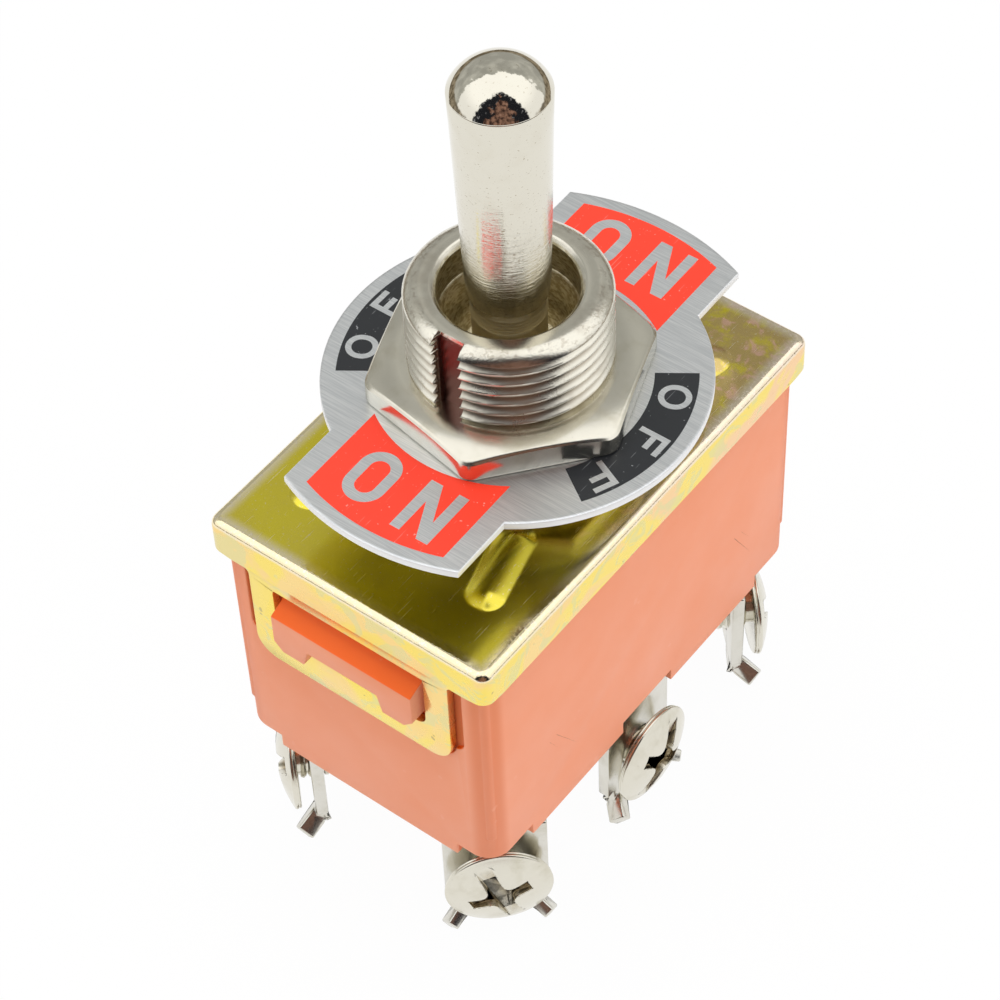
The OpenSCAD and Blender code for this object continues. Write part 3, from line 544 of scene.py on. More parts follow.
def lidSkin(offset, steps):  # rings of one face of the pressed sheet, from the flange's edge to the hole
    look = lidLook
    halfX, halfY, top = lidHigh[0] - offset, lidHalfY - offset, lidTop - offset
    bend = look["bend"] - offset * 0.9
    levels = [(0, lidTop - look["flange"] * share) for share in (1, 0.75, 0.5)]
    levels += [(bend * (1 - math.cos(t)), top - bend + bend * math.sin(t))
               for t in [math.radians(90 * k / 8) for k in range(9)]]
    rings = []
    for row, (inset, z) in enumerate(levels):
        corner = max(look["corner"] - offset * 0.8 - inset * 0.35, 0.15)
        loop = roundedLoop(halfX - inset, halfY - inset, corner, 8, 96, 150)
        ring = []
        for x, y in loop:
            near = max(0.0, 1 - math.hypot(halfX - abs(x), halfY - abs(y)) / 1.5)
            ring.append((x, y, z - look["drape"] * near * max(0, 1 - row / 2)))
        rings.append(ring)
    outer = rings[-1]
    for k in range(1, steps + 1):
        f = k / steps
        ring = []
        for x, y, z in outer:
            a = math.atan2(y, x)
            px = x * (1 - f) + look["hole"] * math.cos(a) * f
            py = y * (1 - f) + look["hole"] * math.sin(a) * f
            ring.append((px, py, top + ribRise(px, py)))
        rings.append(ring)
    return rings


def pressedLid():
    rings = lidSkin(0, 120) + lidSkin(lidLook["sheet"], 20)[::-1]
    points = [p for ring in rings for p in ring]
    return meshPiece("lidShell", points, bandFaces(len(rings), len(rings[0])), 50)


def latchEar(side):
    look = lidLook
    halfW, r, f = look["earWidth"] / 2, look["earRound"], look["fillet"]
    q, c = look["windowRound"], look["windowCorner"]
    top, low = lidTop - look["flange"], lidLow[2]
    outline = [(-halfW - f, top + 0.5), (-halfW - f, top)] + arc((-halfW - f, top - f), f, 90, 0, 6)
    outline += arc((-halfW + r, low + r), r, 180, 270, 10) + arc((halfW - r, low + r), r, 270, 360, 10)
    outline += arc((halfW + f, top - f), f, 180, 90, 6) + [(halfW + f, top + 0.5)]
    windowTop, windowLow = top - look["windowDrop"], lidTop - look["windowLow"]
    inner = halfW - look["earBar"]
    hole = arc((-inner + c, windowTop - c), c, 90, 180, 4)
    hole += arc((-inner + q, windowLow + q), q, 180, 270, 6)
    hole += arc((inner - q, windowLow + q), q, 270, 360, 6)
    hole += arc((inner - c, windowTop - c), c, 0, 90, 4)
    ear = roundEdges(slab("ear", outline, 0, look["sheet"] - 0.012, [hole]), 0.07, 2, 60)
    upright = Matrix.Rotation(math.radians(90), 4, "X")
    face = Matrix.Translation((0, -(lidHalfY - look["sheet"]) * mm, 0)) @ upright
    if side > 0:
        face = Matrix.Rotation(math.pi, 4, "Z") @ face
    return place(ear, face)


lid = joined("lidShell", [pressedLid(), latchEar(-1), latchEar(1)])
fit(lid, "frame", "yellow_zinc", passivate, "lid")
print("stage: lid")

# ---------- housing ----------

fit(softCopy("housing", "housingBody", 0.07), "frame", "housing", moulding, "housing")
print("stage: housing")

# ---------- bushing ----------

bushLook = {"pitch": 0.8, "crest": 5.94, "depth": 0.34, "keyHalf": 0.9, "keyFloor": 5.1, "bevel": 0.62,
            "mouth": 4.05, "throat": 2.9, "socket": 3.3, "ringStep": 0.04}


def threadRadius(z, a):
    look = bushLook
    turn = (z / look["pitch"] - a / math.tau) % 1
    rise = min(1.0, (1 - abs(2 * turn - 1)) * 1.12)
    fade = min(1.0, max(0.0, (bushHigh[2] - look["bevel"] - z) / 0.25))
    return look["crest"] - look["depth"] * (1 - rise ** 1.5) * fade


def bushingShape(r, z, a):
    look = bushLook
    if r > look["crest"] - 0.01 and z >= 0:
        r = threadRadius(z, a)
    beside = a - math.radians(270)
    if r > look["keyFloor"] and z > backLow[2] + 0.01 and abs(r * math.sin(beside)) < look["keyHalf"] + 1e-4:
        if math.cos(beside) > 0:
            r = look["keyFloor"] / math.cos(beside)
    return r, z


def threadedBushing():  # known fault: the bore lacks the two grooves for the pin's ends
    look = bushLook
    rim, seat = bushHigh[2], backLow[2]
    edge = math.degrees(math.asin(look["keyHalf"] / look["crest"]))
    spots = [2 * i for i in range(180) if abs(2 * i - 270) > edge + 1.2]
    spots += [270 + k for k in (-edge - 0.7, -edge - 0.02, -edge + 0.02, -5, -2.5, 0, 2.5, 5,
                                edge - 0.02, edge + 0.02, edge + 0.7)]
    angles = [math.radians(s) for s in sorted(spots)]
    section = [(look["socket"], bushLow[2]), (5.7, bushLow[2]), (5.7, lidTop - 0.65), (4.9, lidTop - 0.65),
               (4.9, lidTop), (7.1, lidTop), (7.2, lidTop + 0.1), (7.2, seat - 0.2), (7.0, seat),
               (5.75, seat), (5.75, -0.1)]
    start = rim - look["bevel"]
    steps = int(start / look["ringStep"])
    section += [(look["crest"], start * i / steps) for i in range(steps + 1)]
    easing = [(0.05, 0.52), (0.13, 0.42), (0.26, 0.31), (0.42, 0.20), (0.60, 0.11), (0.78, 0.04),
              (0.94, 0.01)]
    section += [(look["crest"] - dr, rim - dz) for dr, dz in easing]
    section += [(4.85, rim), (4.45, rim), (4.36, rim - 0.02), (4.28, rim - 0.08), (look["mouth"], rim - 0.32),
                (look["mouth"], rim - 2.3), (look["mouth"] - 0.1, rim - 2.4), (look["throat"], -0.1),
                (look["throat"], -0.6), (look["socket"], -0.62)]
    return turned("bushingSleeve", section, shape=bushingShape, angles=angles, smoothAngle=40)


fit(threadedBushing(), "frame", "nickel", threadNickel, "bushing")
print("stage: bushing")

# ---------- nuts, washer ----------

nutLook = {"flat": 7.5, "turn": 50, "bore": 5.85, "crown": 0.62, "crownStart": 6.2, "corner": 0.28,
           "ease": 0.12, "faceStart": 6.12, "tipRadius": 8.66}
onRim = 21.0  # rings of this radius and more count inwards from the hexagon


def hexRadius(a):  # a hexagon with its corners eased
    look = nutLook
    local = (math.degrees(a) - look["turn"] + 30) % 60 - 30
    r = look["flat"] / math.cos(math.radians(30 - abs(local)))
    cap = look["flat"] / math.cos(math.radians(30)) - look["corner"]
    return min(r, cap + look["ease"] * (1 - math.exp(-(max(r - cap, 0)) / look["ease"])))


def domedNut():
    look = nutLook
    low, high = nutLow[2], nutHigh[2]

    def shape(r, z, a):
        limit = hexRadius(a)
        if r < 0:  # a share of the way out to the hexagon, on the crowned top
            share = -r
            radius = look["faceStart"] + (limit - look["faceStart"]) * share
            rise = max(0.0, radius - look["crownStart"]) / (look["tipRadius"] - look["crownStart"])
            edge = max(0.0, share - 0.9) * 1.2
            return radius, high - look["crown"] * rise ** 1.7 - edge
        if r >= onRim:
            return limit - (r - onRim), z
        return r, z

    rings = [(look["bore"], low), (look["bore"], high - 0.2), (look["bore"] + 0.2, high - 0.02)]
    # known fault: -0.0 isn't below 0, so the first share falls on the axis and closes the bore
    rings += [(-f, 0) for f in [0.0, 0.1, 0.2, 0.3, 0.4, 0.5, 0.6, 0.7, 0.78, 0.85, 0.9, 0.94, 0.97, 0.99]]
    rings += [(onRim, high - 0.85), (onRim, low + 0.25), (21.03, low + 0.12), (21.22, low)]
    return turned("frontNut", rings, count=288, shape=shape, smoothAngle=38)


fit(domedNut(), "frame", "nickel", turnedNickel, "front_nut")
fit(softCopy("back_nut", "backNut", 0.15), "frame", "nickel", turnedNickel, "back_nut")


def nodeGroup(name, inputs):  # geometry nodes that add to the mesh they are given
    tree = bpy.data.node_groups.new(name, "GeometryNodeTree")
    face = tree.interface
    face.new_socket("Geometry", in_out="INPUT", socket_type="NodeSocketGeometry")
    for title, kind in inputs:
        face.new_socket(title, in_out="INPUT", socket_type="NodeSocket" + kind)
    face.new_socket("Geometry", in_out="OUTPUT", socket_type="NodeSocketGeometry")
    return tree, tree.nodes.new("NodeGroupInput")


def wired(tree, *wires):  # each from one node's output to another's input
    for source, out, target, into in wires:
        tree.links.new(source.outputs[out], target.inputs[into])


def joinTo(tree, entry, made, material):  # what was made joins the given mesh
    kinds = ("JoinGeometry", "RealizeInstances", "SetMaterial")
    both, solid, paint = [tree.nodes.new("GeometryNode" + kind) for kind in kinds]
    paint.inputs["Material"].default_value = material
    leave = tree.nodes.new("NodeGroupOutput")
    wired(tree, (entry, 0, both, 0), (made, 0, both, 0), (both, 0, solid, 0), (solid, 0, paint, 0),
          (paint, 0, leave, 0))


def grown(obj, tree, values):  # runs the nodes on a mesh
    modifier = obj.modifiers.new(tree.name, "NODES")
    modifier.node_group = tree
    for item in tree.interface.items_tree:
        if item.in_out == "INPUT" and item.name in values:
            modifier[item.identifier] = values[item.name]
    return baked(obj)


def toothedWasher():  # twisted teeth stand round the inner edge of a flat ring
    look = {"teeth": 12, "toothRadius": 6.55, "twist": 16, "size": (1.0, 1.4, 0.45), "inner": 6.9}
    tree, entry = nodeGroup("washerTeeth", [("Teeth", "Int"), ("Radius", "Float"), ("Twist", "Float")])
    ring = tree.nodes.new("GeometryNodeMeshCircle")
    tooth = tree.nodes.new("GeometryNodeMeshCube")
    tooth.inputs["Size"].default_value = [v * mm for v in look["size"]]
    spread = tree.nodes.new("GeometryNodeInstanceOnPoints")
    number = tree.nodes.new("GeometryNodeInputIndex")
    turnEach, shareEach = tree.nodes.new("ShaderNodeMath"), tree.nodes.new("ShaderNodeMath")
    turnEach.operation, shareEach.operation = "MULTIPLY", "DIVIDE"
    shareEach.inputs[0].default_value = math.tau
    spin = tree.nodes.new("ShaderNodeCombineXYZ")
    wired(tree, (entry, "Teeth", ring, "Vertices"), (entry, "Radius", ring, "Radius"),
          (ring, 0, spread, "Points"), (tooth, 0, spread, "Instance"), (entry, "Teeth", shareEach, 1),
          (number, 0, turnEach, 0), (shareEach, 0, turnEach, 1), (entry, "Twist", spin, "X"),
          (turnEach, 0, spin, "Z"), (spin, 0, spread, "Rotation"))
    joinTo(tree, entry, spread, spring)
    half = (washerHigh[2] - washerLow[2]) / 2
    outer = washerHigh[0]
    middle = (washerLow[2] + washerHigh[2]) / 2
    flat = turned("lockWasher", [(look["inner"], -half), (outer, -half), (outer, 0), (look["inner"], 0)], 96)
    values = {"Teeth": look["teeth"], "Radius": look["toothRadius"] * mm,
              "Twist": math.radians(look["twist"])}
    return place(grown(flat, tree, values), Matrix.Translation((0, 0, middle * mm)))


fit(toothedWasher(), "frame", "nickel", stripNickel, "lock_washer")
print("stage: nuts and washer")

# ---------- indicator plate ----------

plateLook = {"disc": 11.3, "reach": 15.0, "tabHalf": 6.05, "turn": 1.0, "shift": (0.2, 0.22), "bore": 6.25,
             "film": 0.012, "redHalf": 4.75, "redIn": 8.6, "redOut": 14.15, "blackIn": 7.85,
             "blackOut": 10.4, "blackTurn": 34, "onHeight": 3.9, "onWidth": 2.6, "onStroke": 0.68,
             "onMiddle": 11.35, "frontInset": (0.38, 0.15), "offHeight": 1.95, "offWidth": 1.5,
             "offStroke": 0.36, "offMiddle": 9.2, "offTurns": (22.3, -0.6, -24.5)}


def plateOutline(a, look):
    c = abs(math.cos(a))
    tab = look["tabHalf"] / c if c > 1e-6 else 99
    return max(look["disc"], min(look["reach"], tab))


def blankedPlate():
    look = plateLook
    low, high = plateLow[2], plateHigh[2]
    outerTurn = math.degrees(math.acos(look["tabHalf"] / look["reach"]))
    innerTurn = math.degrees(math.acos(look["tabHalf"] / look["disc"]))
    key = [(i * 2) for i in range(180)]
    for base in (outerTurn, innerTurn):
        for spot in (base, 180 - base, 180 + base, 360 - base):
            key += [spot - 0.15, spot, spot + 0.15]
    angles = [math.radians(s) for s in sorted(set(round(k, 4) for k in key))]

    def shape(r, z, a):  # rings of 20 and more count inwards from the outline
        return (plateOutline(a, look) - (r - 20), z) if r > 15.5 else (r, z)

    rings = [(look["bore"], low), (look["bore"], high), (20.5, high), (20.2, high), (20.1, high),
             (20.03, high - 0.03), (20.0, high - 0.1), (20.0, low + 0.04), (20.05, low), (20.4, low)]
    return turned("dialPlate", rings, shape=shape, angles=angles, smoothAngle=30)


plateTurn = Matrix.Rotation(math.radians(plateLook["turn"]), 4, "Z")
plateSeat = Matrix.Translation((plateLook["shift"][0] * mm, plateLook["shift"][1] * mm, 0)) @ plateTurn
fit(place(blankedPlate(), plateSeat), "frame", "aluminium", aluminium, "indicator_plate")


def roundedLetterO(width, height, stroke):
    bend, straight = width / 2, height / 2 - width / 2

    def ring(inset):
        r = bend - inset
        return arc((0, straight), r, 0, 180, 20) + arc((0, -straight), r, 180, 360, 20)

    return ring(0), [ring(stroke)]


def letterN(width, height, stroke):
    w, h, s = width / 2, height / 2, stroke
    slant = s * 1.15
    return [(-w, -h), (-w + s, -h), (-w + s, h - s * 2.1), (w - slant, -h), (w, -h), (w, h), (w - s, h),
            (w - s, -h + s * 2.1), (-w + slant, h), (-w, h)], []


def letterF(width, height, stroke):
    w, h, s = width / 2, height / 2, stroke
    return [(-w, -h), (-w + s, -h), (-w + s, -s * 0.35), (w * 0.75, -s * 0.35), (w * 0.75, s * 0.65),
            (-w + s, s * 0.65), (-w + s, h - s), (w, h - s), (w, h), (-w, h)], []


def printPlate():
    look = plateLook
    top = plateHigh[2]
    inkTop = top + look["film"]
    letterTop = inkTop + look["film"] * 0.6
    reds, blacks, letters = [], [], []
    for side in (-1, 1):
        half = look["redHalf"]

        def edge(radius, start, end):
            return [(x, side * math.sqrt(radius ** 2 - x ** 2))
                    for x in [start + (end - start) * k / 24 for k in range(25)]]

        field = edge(look["redOut"], -half, half) + edge(look["redIn"], half, -half)
        reds.append(slab("red", field, top, inkTop))
        turn = look["blackTurn"]
        band = arc((0, 0), look["blackOut"], -turn, turn, 40) + arc((0, 0), look["blackIn"], turn, -turn, 40)
        blacks.append(slab("black", [(side * x, y) for x, y in band], top, inkTop))
        shapes = [roundedLetterO(look["onWidth"], look["onHeight"], look["onStroke"]),
                  letterN(look["onWidth"], look["onHeight"], look["onStroke"])]
        for offset, inset, (outline, holes) in zip((-1.95, 2.2), look["frontInset"], shapes):
            letter = slab("letter", outline, inkTop - 0.004, letterTop, holes)
            middle = side * (look["onMiddle"] - (inset if side < 0 else 0))
            letters.append(place(letter, Matrix.Translation((offset * mm, middle * mm, 0))))
        small = (look["offWidth"], look["offHeight"], look["offStroke"])
        word = [roundedLetterO(small[0] + 0.35, *small[1:]), letterF(*small), letterF(*small)]
        for turnEach, (outline, holes) in zip(look["offTurns"], word):
            letter = slab("letter", outline, inkTop - 0.004, letterTop, holes)
            upright = Matrix.Rotation(math.radians(-90), 4, "Z")
            outwards = Matrix.Translation((look["offMiddle"] * mm, 0, 0)) @ upright
            spin = Matrix.Rotation(math.radians(turnEach + (180 if side < 0 else 0)), 4, "Z")
            letters.append(place(letter, spin @ outwards))
    return joined("redFields", reds), joined("blackFields", blacks), joined("plateLetters", letters)


reds, blacks, letters = [place(made, plateSeat) for made in printPlate()]
fit(reds, "frame", "aluminium", redInk)
fit(blacks, "frame", "aluminium", blackInk)
fit(letters, "frame", "aluminium", aluminium)
print("stage: indicator plate")

# ---------- lever ----------

leverLook = {"edgeRadius": 2.85, "dome": 1.8, "lowRadius": 2.43, "neck": 2.15, "shoulder": 4.8, "ball": 3.2,
             "stem": 1.1, "stemEnd": 1.6, "stemReach": 8.4}


def leverBat():
    look = leverLook
    tip, low = leverHigh[2], look["shoulder"]
    edge, dome = look["edgeRadius"], look["dome"]
    domeRadius = (dome ** 2 + edge ** 2) / (2 * dome)
    edgeTurn = math.degrees(math.atan2(domeRadius - dome, edge))
    bottom = pivotHeight - look["stemReach"] - look["stemEnd"]
    profile = [(0, bottom)]
    profile += arc((0, bottom + look["stemEnd"]), look["stemEnd"], -82, 46, 14)
    profile += [(look["stem"], pivotHeight - math.sqrt(look["ball"] ** 2 - look["stem"] ** 2))]
    profile += arc((0, pivotHeight), look["ball"], -62, 40, 18)
    onBall = math.sqrt(look["ball"] ** 2 - look["neck"] ** 2)
    profile += [(look["neck"], pivotHeight + onBall + 0.15), (look["neck"], low - 1.5)]
    for k in range(9):  # turning marks above the neck
        profile.append((look["neck"] + (0.045 if k % 2 else 0.0), low - 1.35 + k * 0.12))
    profile += [(look["neck"] + 0.03, low - 0.3), (look["neck"] + 0.08, low - 0.05)]
    profile += [(look["lowRadius"] - 0.13, low + 0.3), (look["lowRadius"] - 0.05, low + 0.75),
                (look["lowRadius"], low + 1.4)]
    rise = tip - dome - 0.06 - low - 1.4
    profile += [(look["lowRadius"] + (edge - look["lowRadius"]) * k / 8, low + 1.4 + rise * k / 8)
                for k in range(1, 9)]
    profile += [(edge - 0.03, tip - dome)]
    profile += arc((0, tip - domeRadius), domeRadius, edgeTurn + 1.0, 89, 26)
    profile.append((0, tip))
    return solidOfTurning("leverBat", profile, 128, 30)


fit(leverBat(), "lever", "nickel", polishedNickel, "lever")
fit(softCopy("pivot_pin", "pivotPin", 0.1), "lever", "steel", spring, "pivot_pin")
print("stage: lever")

# ---------- terminals ----------

for node in [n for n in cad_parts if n.endswith("_terminal")]:
    strip = softCopy(node, pieceName(node), 0.12)
    fit(strip, "frame", "nickel", stripNickel, node)
print("stage: terminals")

# ---------- screws ----------

screwLook = {"head": 3.35, "rim": 0.45, "dome": 0.8, "gap": 0.8, "slotHalf": 0.5, "slotDepth": 0.55,
             "armHalf": 0.42, "armReach": 1.95, "crossDepth": 1.0, "tail": 2.0, "pitch": 0.5, "lip": 0.12,
             "core": 1.22, "coil": 1.26, "ridge": 0.2, "deepShare": 0.62}
headTop = screwLook["gap"] + screwLook["rim"] + screwLook["dome"]


def prism(name, low, high):  # a straight or tapered cutter between two outlines of equal length
    points = [(x, y, z) for outline, z in (low, high) for x, y in outline]
    n = len(low[0])
    faces = [tuple(range(n)), tuple(range(n, 2 * n))]
    faces += [(i, (i + 1) % n, (i + 1) % n + n, i + n) for i in range(n)]
    return meshPiece(name, points, faces)


def crossOutline(slotHalf, reachY, armHalf, reachX, ease):  # a plus with its inner corners eased
    outline = []
    for sx, sy in ((1, 1), (-1, 1), (-1, -1), (1, -1)):
        inner = arc((slotHalf + ease, armHalf + ease), ease, 270, 180, 4)
        quarter = [(reachX, armHalf)] + inner + [(slotHalf, reachY)]
        if sx * sy < 0:
            quarter = quarter[::-1]
        outline += [(sx * x, sy * y) for x, y in quarter]
    return outline


def bindingHead():
    look = screwLook
    r, rim, dome = look["head"], look["rim"], look["dome"]
    base, top = look["gap"], headTop
    domeRadius = (dome ** 2 + (r - 0.1) ** 2) / (2 * dome)
    edge = math.degrees(math.asin((r - 0.1) / domeRadius))
    profile = [(0, base), (r - 0.9, base), (r - 0.2, base), (r - 0.06, base + 0.04),
               (r - 0.04, base + look["lip"]), (r - 0.09, base + look["lip"] + 0.05),
               (r, base + look["lip"] + 0.12), (r, base + rim - 0.1), (r - 0.04, base + rim - 0.02)]
    profile += arc((0, top - domeRadius), domeRadius, 90 - edge, 89.5, 20)
    profile.append((0, top))
    head = solidOfTurning("head", profile, 96)
    slot = crossOutline(look["slotHalf"], r + 1, look["armHalf"], look["armReach"], 0.6)
    reach = look["armReach"]
    wide = crossOutline(look["slotHalf"] - 0.03, reach - 0.25, look["armHalf"], reach, 0.5)
    deep = [(x * look["deepShare"], y * look["deepShare"]) for x, y in wide]
    floor = top - look["slotDepth"]
    tools = [prism("slotCutter", (slot, floor), (slot, top + 1)),
             prism("crossCutter", (deep, top - look["crossDepth"]), (wide, floor + 0.02))]
    for tool in tools:
        cut = head.modifiers.new("cut", "BOOLEAN")
        cut.operation = "DIFFERENCE"
        cut.object = tool
        cut.solver = "EXACT"
    head = baked(head)
    for tool in tools:
        bpy.data.objects.remove(tool)
    return roundEdges(head, 0.045, 2, 40)


def shankThread():  # a ridge swept along a spiral
    look = screwLook
    inputs = [(title, "Float") for title in ("Radius", "Length", "Turns", "Ridge")]
    tree, entry = nodeGroup("shankThread", inputs)
    coil = tree.nodes.new("GeometryNodeCurveSpiral")
    coil.inputs["Resolution"].default_value = 28
    section = tree.nodes.new("GeometryNodeCurvePrimitiveCircle")
    section.inputs["Resolution"].default_value = 6
    sweep = tree.nodes.new("GeometryNodeCurveToMesh")
    sweep.inputs["Fill Caps"].default_value = True
    wired(tree, (entry, "Radius", coil, "Start Radius"), (entry, "Radius", coil, "End Radius"),
          (entry, "Length", coil, "Height"), (entry, "Turns", coil, "Rotations"),
          (entry, "Ridge", section, "Radius"), (coil, 0, sweep, "Curve"),
          (section, 0, sweep, "Profile Curve"))
    joinTo(tree, entry, sweep, stripNickel)
    length = look["tail"] + look["gap"]
    r = look["core"]
    core = solidOfTurning("shank", [(0, 0), (1.0, 0), (r, 0.2), (r, length), (0, length)], 32)
    values = {"Radius": look["coil"] * mm, "Length": (length - 0.2) * mm,
              "Turns": (length - 0.2) / look["pitch"], "Ridge": look["ridge"] * mm}
    return place(grown(core, tree, values), Matrix.Translation((0, 0, -look["tail"] * mm)))


screwTurns = {"left_front": 41, "right_front": 111, "left_common": 12, "right_common": 52, "left_rear": 75,
              "right_rear": 139}


def outFrom(node):  # matrix that lays a screw's axis along its own plate's normal
    low, high = span(node)
    middle = Vector([(a + b) / 2 for a, b in zip(low, high)])
    side, end = (1 if middle.x > 0 else -1), (1 if middle.y > 0 else -1)
    turn = 90 - 90 * side if "common" in node else math.degrees(math.atan2(end, side))
    outwards = Vector((math.cos(math.radians(turn)), math.sin(math.radians(turn)), 0))
    reach = max(Vector(v.co).dot(outwards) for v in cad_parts[node].data.vertices) / mm
    along = Vector((-outwards.y, outwards.x, 0))
    face = outwards * (reach - headTop) + along * middle.dot(along)
    face.z = middle.z
    stand = Matrix.Rotation(math.radians(turn), 4, "Z") @ Matrix.Rotation(math.radians(90), 4, "Y")
    return Matrix.Translation(face * mm) @ stand


def markRecess(obj):  # 1 in the screwdriver's recess, 0 elsewhere
    look = screwLook
    marks = obj.data.attributes.new("recess", "FLOAT", "POINT")
    for v in obj.data.vertices:
        r, z = math.hypot(v.co.x, v.co.y) / mm, v.co.z / mm
        under = headTop - look["dome"] * (r / look["head"]) ** 2 - z
        marks.data[v.index].value = 1.0 if under > 0.12 and z > look["gap"] + 0.05 and r < 3.1 else 0.0
    return obj


screwMaster = markRecess(joined("screwMaster", [bindingHead(), shankThread()]))
for node in [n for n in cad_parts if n.endswith("_screw")]:
    copy = link(bpy.data.objects.new(pieceName(node), screwMaster.data.copy()))
    spin = Matrix.Rotation(math.radians(screwTurns[node.replace("_screw", "")]), 4, "Z")
    place(copy, outFrom(node) @ spin)
    fit(copy, "frame", "nickel", turnedNickel, node)
bpy.data.objects.remove(screwMaster)
print("stage: screws")

# ---------- inside parts ----------

insideParts = [("seat_ring", "seatRing", "frame", "insulator", insulator, 0.08),
               ("carrier", "slideCarrier", "carrier", "insulator", insulator, 0.1)]
for kind, body, slotName, material, width in (("Plunger", "carrier", "insulator", insulator, 0.06),
                                              ("Spring", "carrier", "steel", spring, 0),
                                              ("Rocker", "", "brass", copper, 0.06)):
    for side in ("left", "right"):
        node = side + "_" + kind.lower()
        insideParts.append((node, side + kind, body or node, slotName, material, width))
contacts = [spot + "_contact" for spot in ("left_front", "right_front", "left_rear", "right_rear")]
insideParts += [(node, pieceName(node), "frame", "silver", silver, 0.08) for node in contacts]
for node, name, body, slotName, material, width in insideParts:
    fit(softCopy(node, name, width), body, slotName, material, node)
print("stage: inside parts")

# ---------- floor, light, camera ----------

studio = {"floorHalf": 300, "azimuth": 39.46, "elevation": 49.67, "roll": -2.85, "distance": 0.1827,
          "target": (0.00126, -0.00317, -0.00923), "lens": 113.1, "roomLight": 0.55, "white": (1.05, 1.3),
          "behind": (0.40, 0.64), "floorGlow": 0.97}


def paleFloor():
    half, level = studio["floorHalf"], cadBounds[0][2] / mm
    floor = meshPiece("floor", [(-half, -half, level), (half, -half, level), (half, half, level),
                                (-half, half, level)], [(0, 1, 2, 3)])
    s = Shade("paleFloor", 0.9)
    s.plug(s.surface.inputs["Base Color"], (0.9, 0.9, 0.9))
    glow = s.node("Emission", {}, {0: (1, 1, 1)})
    both = s.node("MixShader", {}, {
        0: seenDirectly(s) * studio["floorGlow"], 1: Wire(s, s.surface.outputs[0]), 2: glow})
    s.plug(s.tree.nodes["Material Output"].inputs[0], both)
    floor.data.materials.append(s.material)


def seenDirectly(graph):  # by the camera, or in metal or glass
    path = graph.tree.nodes.new("ShaderNodeLightPath")
    return Wire(graph, path.outputs["Is Camera Ray"]).top(
        Wire(graph, path.outputs["Is Glossy Ray"])).top(Wire(graph, path.outputs["Is Transmission Ray"]))


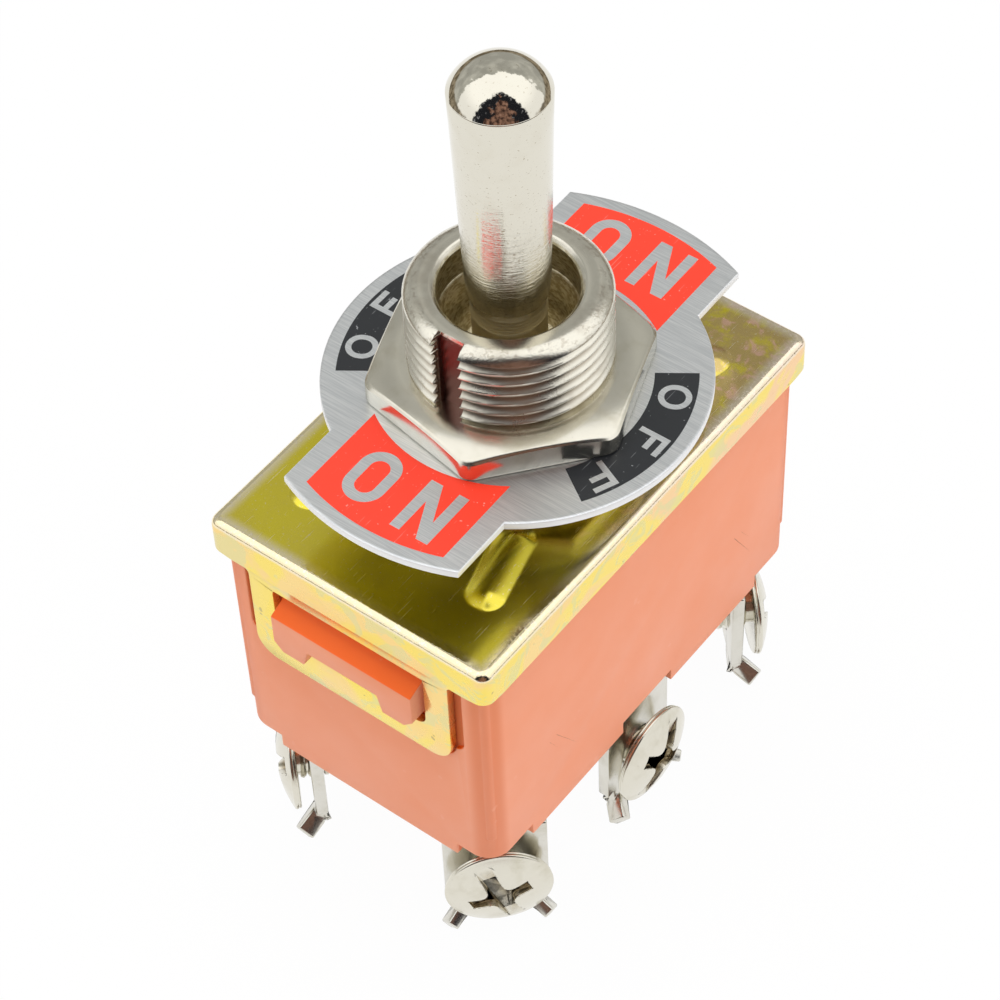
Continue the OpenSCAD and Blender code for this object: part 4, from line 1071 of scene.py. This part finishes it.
def studioWorld():  # metal sees white in front and above, grey behind and a dark doorway in front
    world = bpy.data.worlds.new("studio")
    bpy.context.scene.world = world
    world.use_nodes = True
    g = Graph(world.node_tree)
    direction = g.node("TexCoord", {}, {}, "Generated")
    x, y, z = g.split(direction)
    a = math.radians(studio["azimuth"])
    forward = x * math.sin(a) + y * -math.cos(a)

    def ragged(size, detail):  # about 0, up to 0.5 either way
        return g.node("TexNoise", {}, {"Vector": direction, "Scale": size, "Detail": detail}) - 0.5

    coarse, fine = ragged(4.0, 5.0), ragged(9.0, 4.0)
    grey = g.mix((coarse + forward * 0.3).rise(-0.35, 0.1), *[(v, v, v * 0.95) for v in studio["behind"]])
    side = abs(x * math.cos(a) + y * math.sin(a))
    white = g.mix(z.rise(0.3, 0.7), *[(v, v, v) for v in studio["white"]])
    lit = g.mix((forward + z * 0.3 + coarse * 0.5 + fine * 0.3).rise(-0.16, -0.11), grey, white)
    horizon = 1 - (z + fine * 0.1).rise(0.03, 0.11)
    lit = g.mix(horizon * 0.9, lit, g.mix(fine.rise(-0.1, 0.1), (0.12, 0.09, 0.05), (0.34, 0.28, 0.20)))
    doorway = (forward - side * 0.32 + fine * 0.3).rise(0.28, 0.34)
    dark = g.mix(fine.rise(0.12, 0.22), (0.016, 0.017, 0.022), (0.35, 0.36, 0.40))
    brown = (coarse * 1.3 + forward - side * 0.9).rise(0.42, 0.50)
    dark = g.mix(brown * 0.85, dark, g.mix(fine.rise(-0.15, 0.15), (0.05, 0.025, 0.02), (0.40, 0.22, 0.16)))
    glossy = g.node("Background", {}, {0: g.mix(doorway, lit, dark), 1: 1.0})
    plain = g.node("Background", {}, {0: (1, 1, 1), 1: studio["roomLight"]})
    backdrop = g.node("Background", {}, {0: (1, 1, 1), 1: 1.0})
    path = g.tree.nodes.new("ShaderNodeLightPath")
    inMetal, byCamera = [Wire(g, path.outputs[kind]) for kind in ("Is Glossy Ray", "Is Camera Ray")]
    lit = g.node("MixShader", {}, {0: inMetal, 1: plain, 2: glossy})
    whole = g.node("MixShader", {}, {0: byCamera, 1: lit, 2: backdrop})
    g.plug(g.tree.nodes.new("ShaderNodeOutputWorld").inputs[0], whole)


def softbox(name, place, size, power, aim=(0, 0, -0.01)):
    lamp = bpy.data.lights.new(name, "AREA")
    lamp.shape = "RECTANGLE"
    lamp.size, lamp.size_y = size
    lamp.energy = power
    obj = link(bpy.data.objects.new(name, lamp))
    obj.location = place
    obj.rotation_euler = (Vector(aim) - Vector(place)).to_track_quat("-Z", "Y").to_euler()
    obj.visible_glossy = False


def aimCamera():
    a, e, r = (math.radians(studio[k]) for k in ("azimuth", "elevation", "roll"))
    back = Vector((math.sin(a) * math.cos(e), -math.cos(a) * math.cos(e), math.sin(e)))
    right = Vector((0, 0, 1)).cross(back).normalized()
    up = back.cross(right)
    across = right * math.cos(r) + up * math.sin(r)
    above = -right * math.sin(r) + up * math.cos(r)
    lens = bpy.data.cameras.new("camera")
    lens.lens = studio["lens"]
    lens.sensor_width = 36
    lens.clip_start = 0.005
    obj = link(bpy.data.objects.new("camera", lens))
    eye = Vector(studio["target"]) + back * studio["distance"]
    obj.matrix_world = Matrix.Translation(eye) @ Matrix((across, above, back)).transposed().to_4x4()
    bpy.context.scene.camera = obj


paleFloor()
studioWorld()
softbox("overhead", (-0.05, 0.04, 0.30), (0.26, 0.22), 0.60)
softbox("rightFill", (0.28, 0.10, 0.10), (0.2, 0.2), 0.29)
softbox("leftFill", (-0.16, -0.26, 0.12), (0.2, 0.2), 0.20)
aimCamera()
bpy.context.scene.view_settings.view_transform = "Standard"
print("stage: studio")
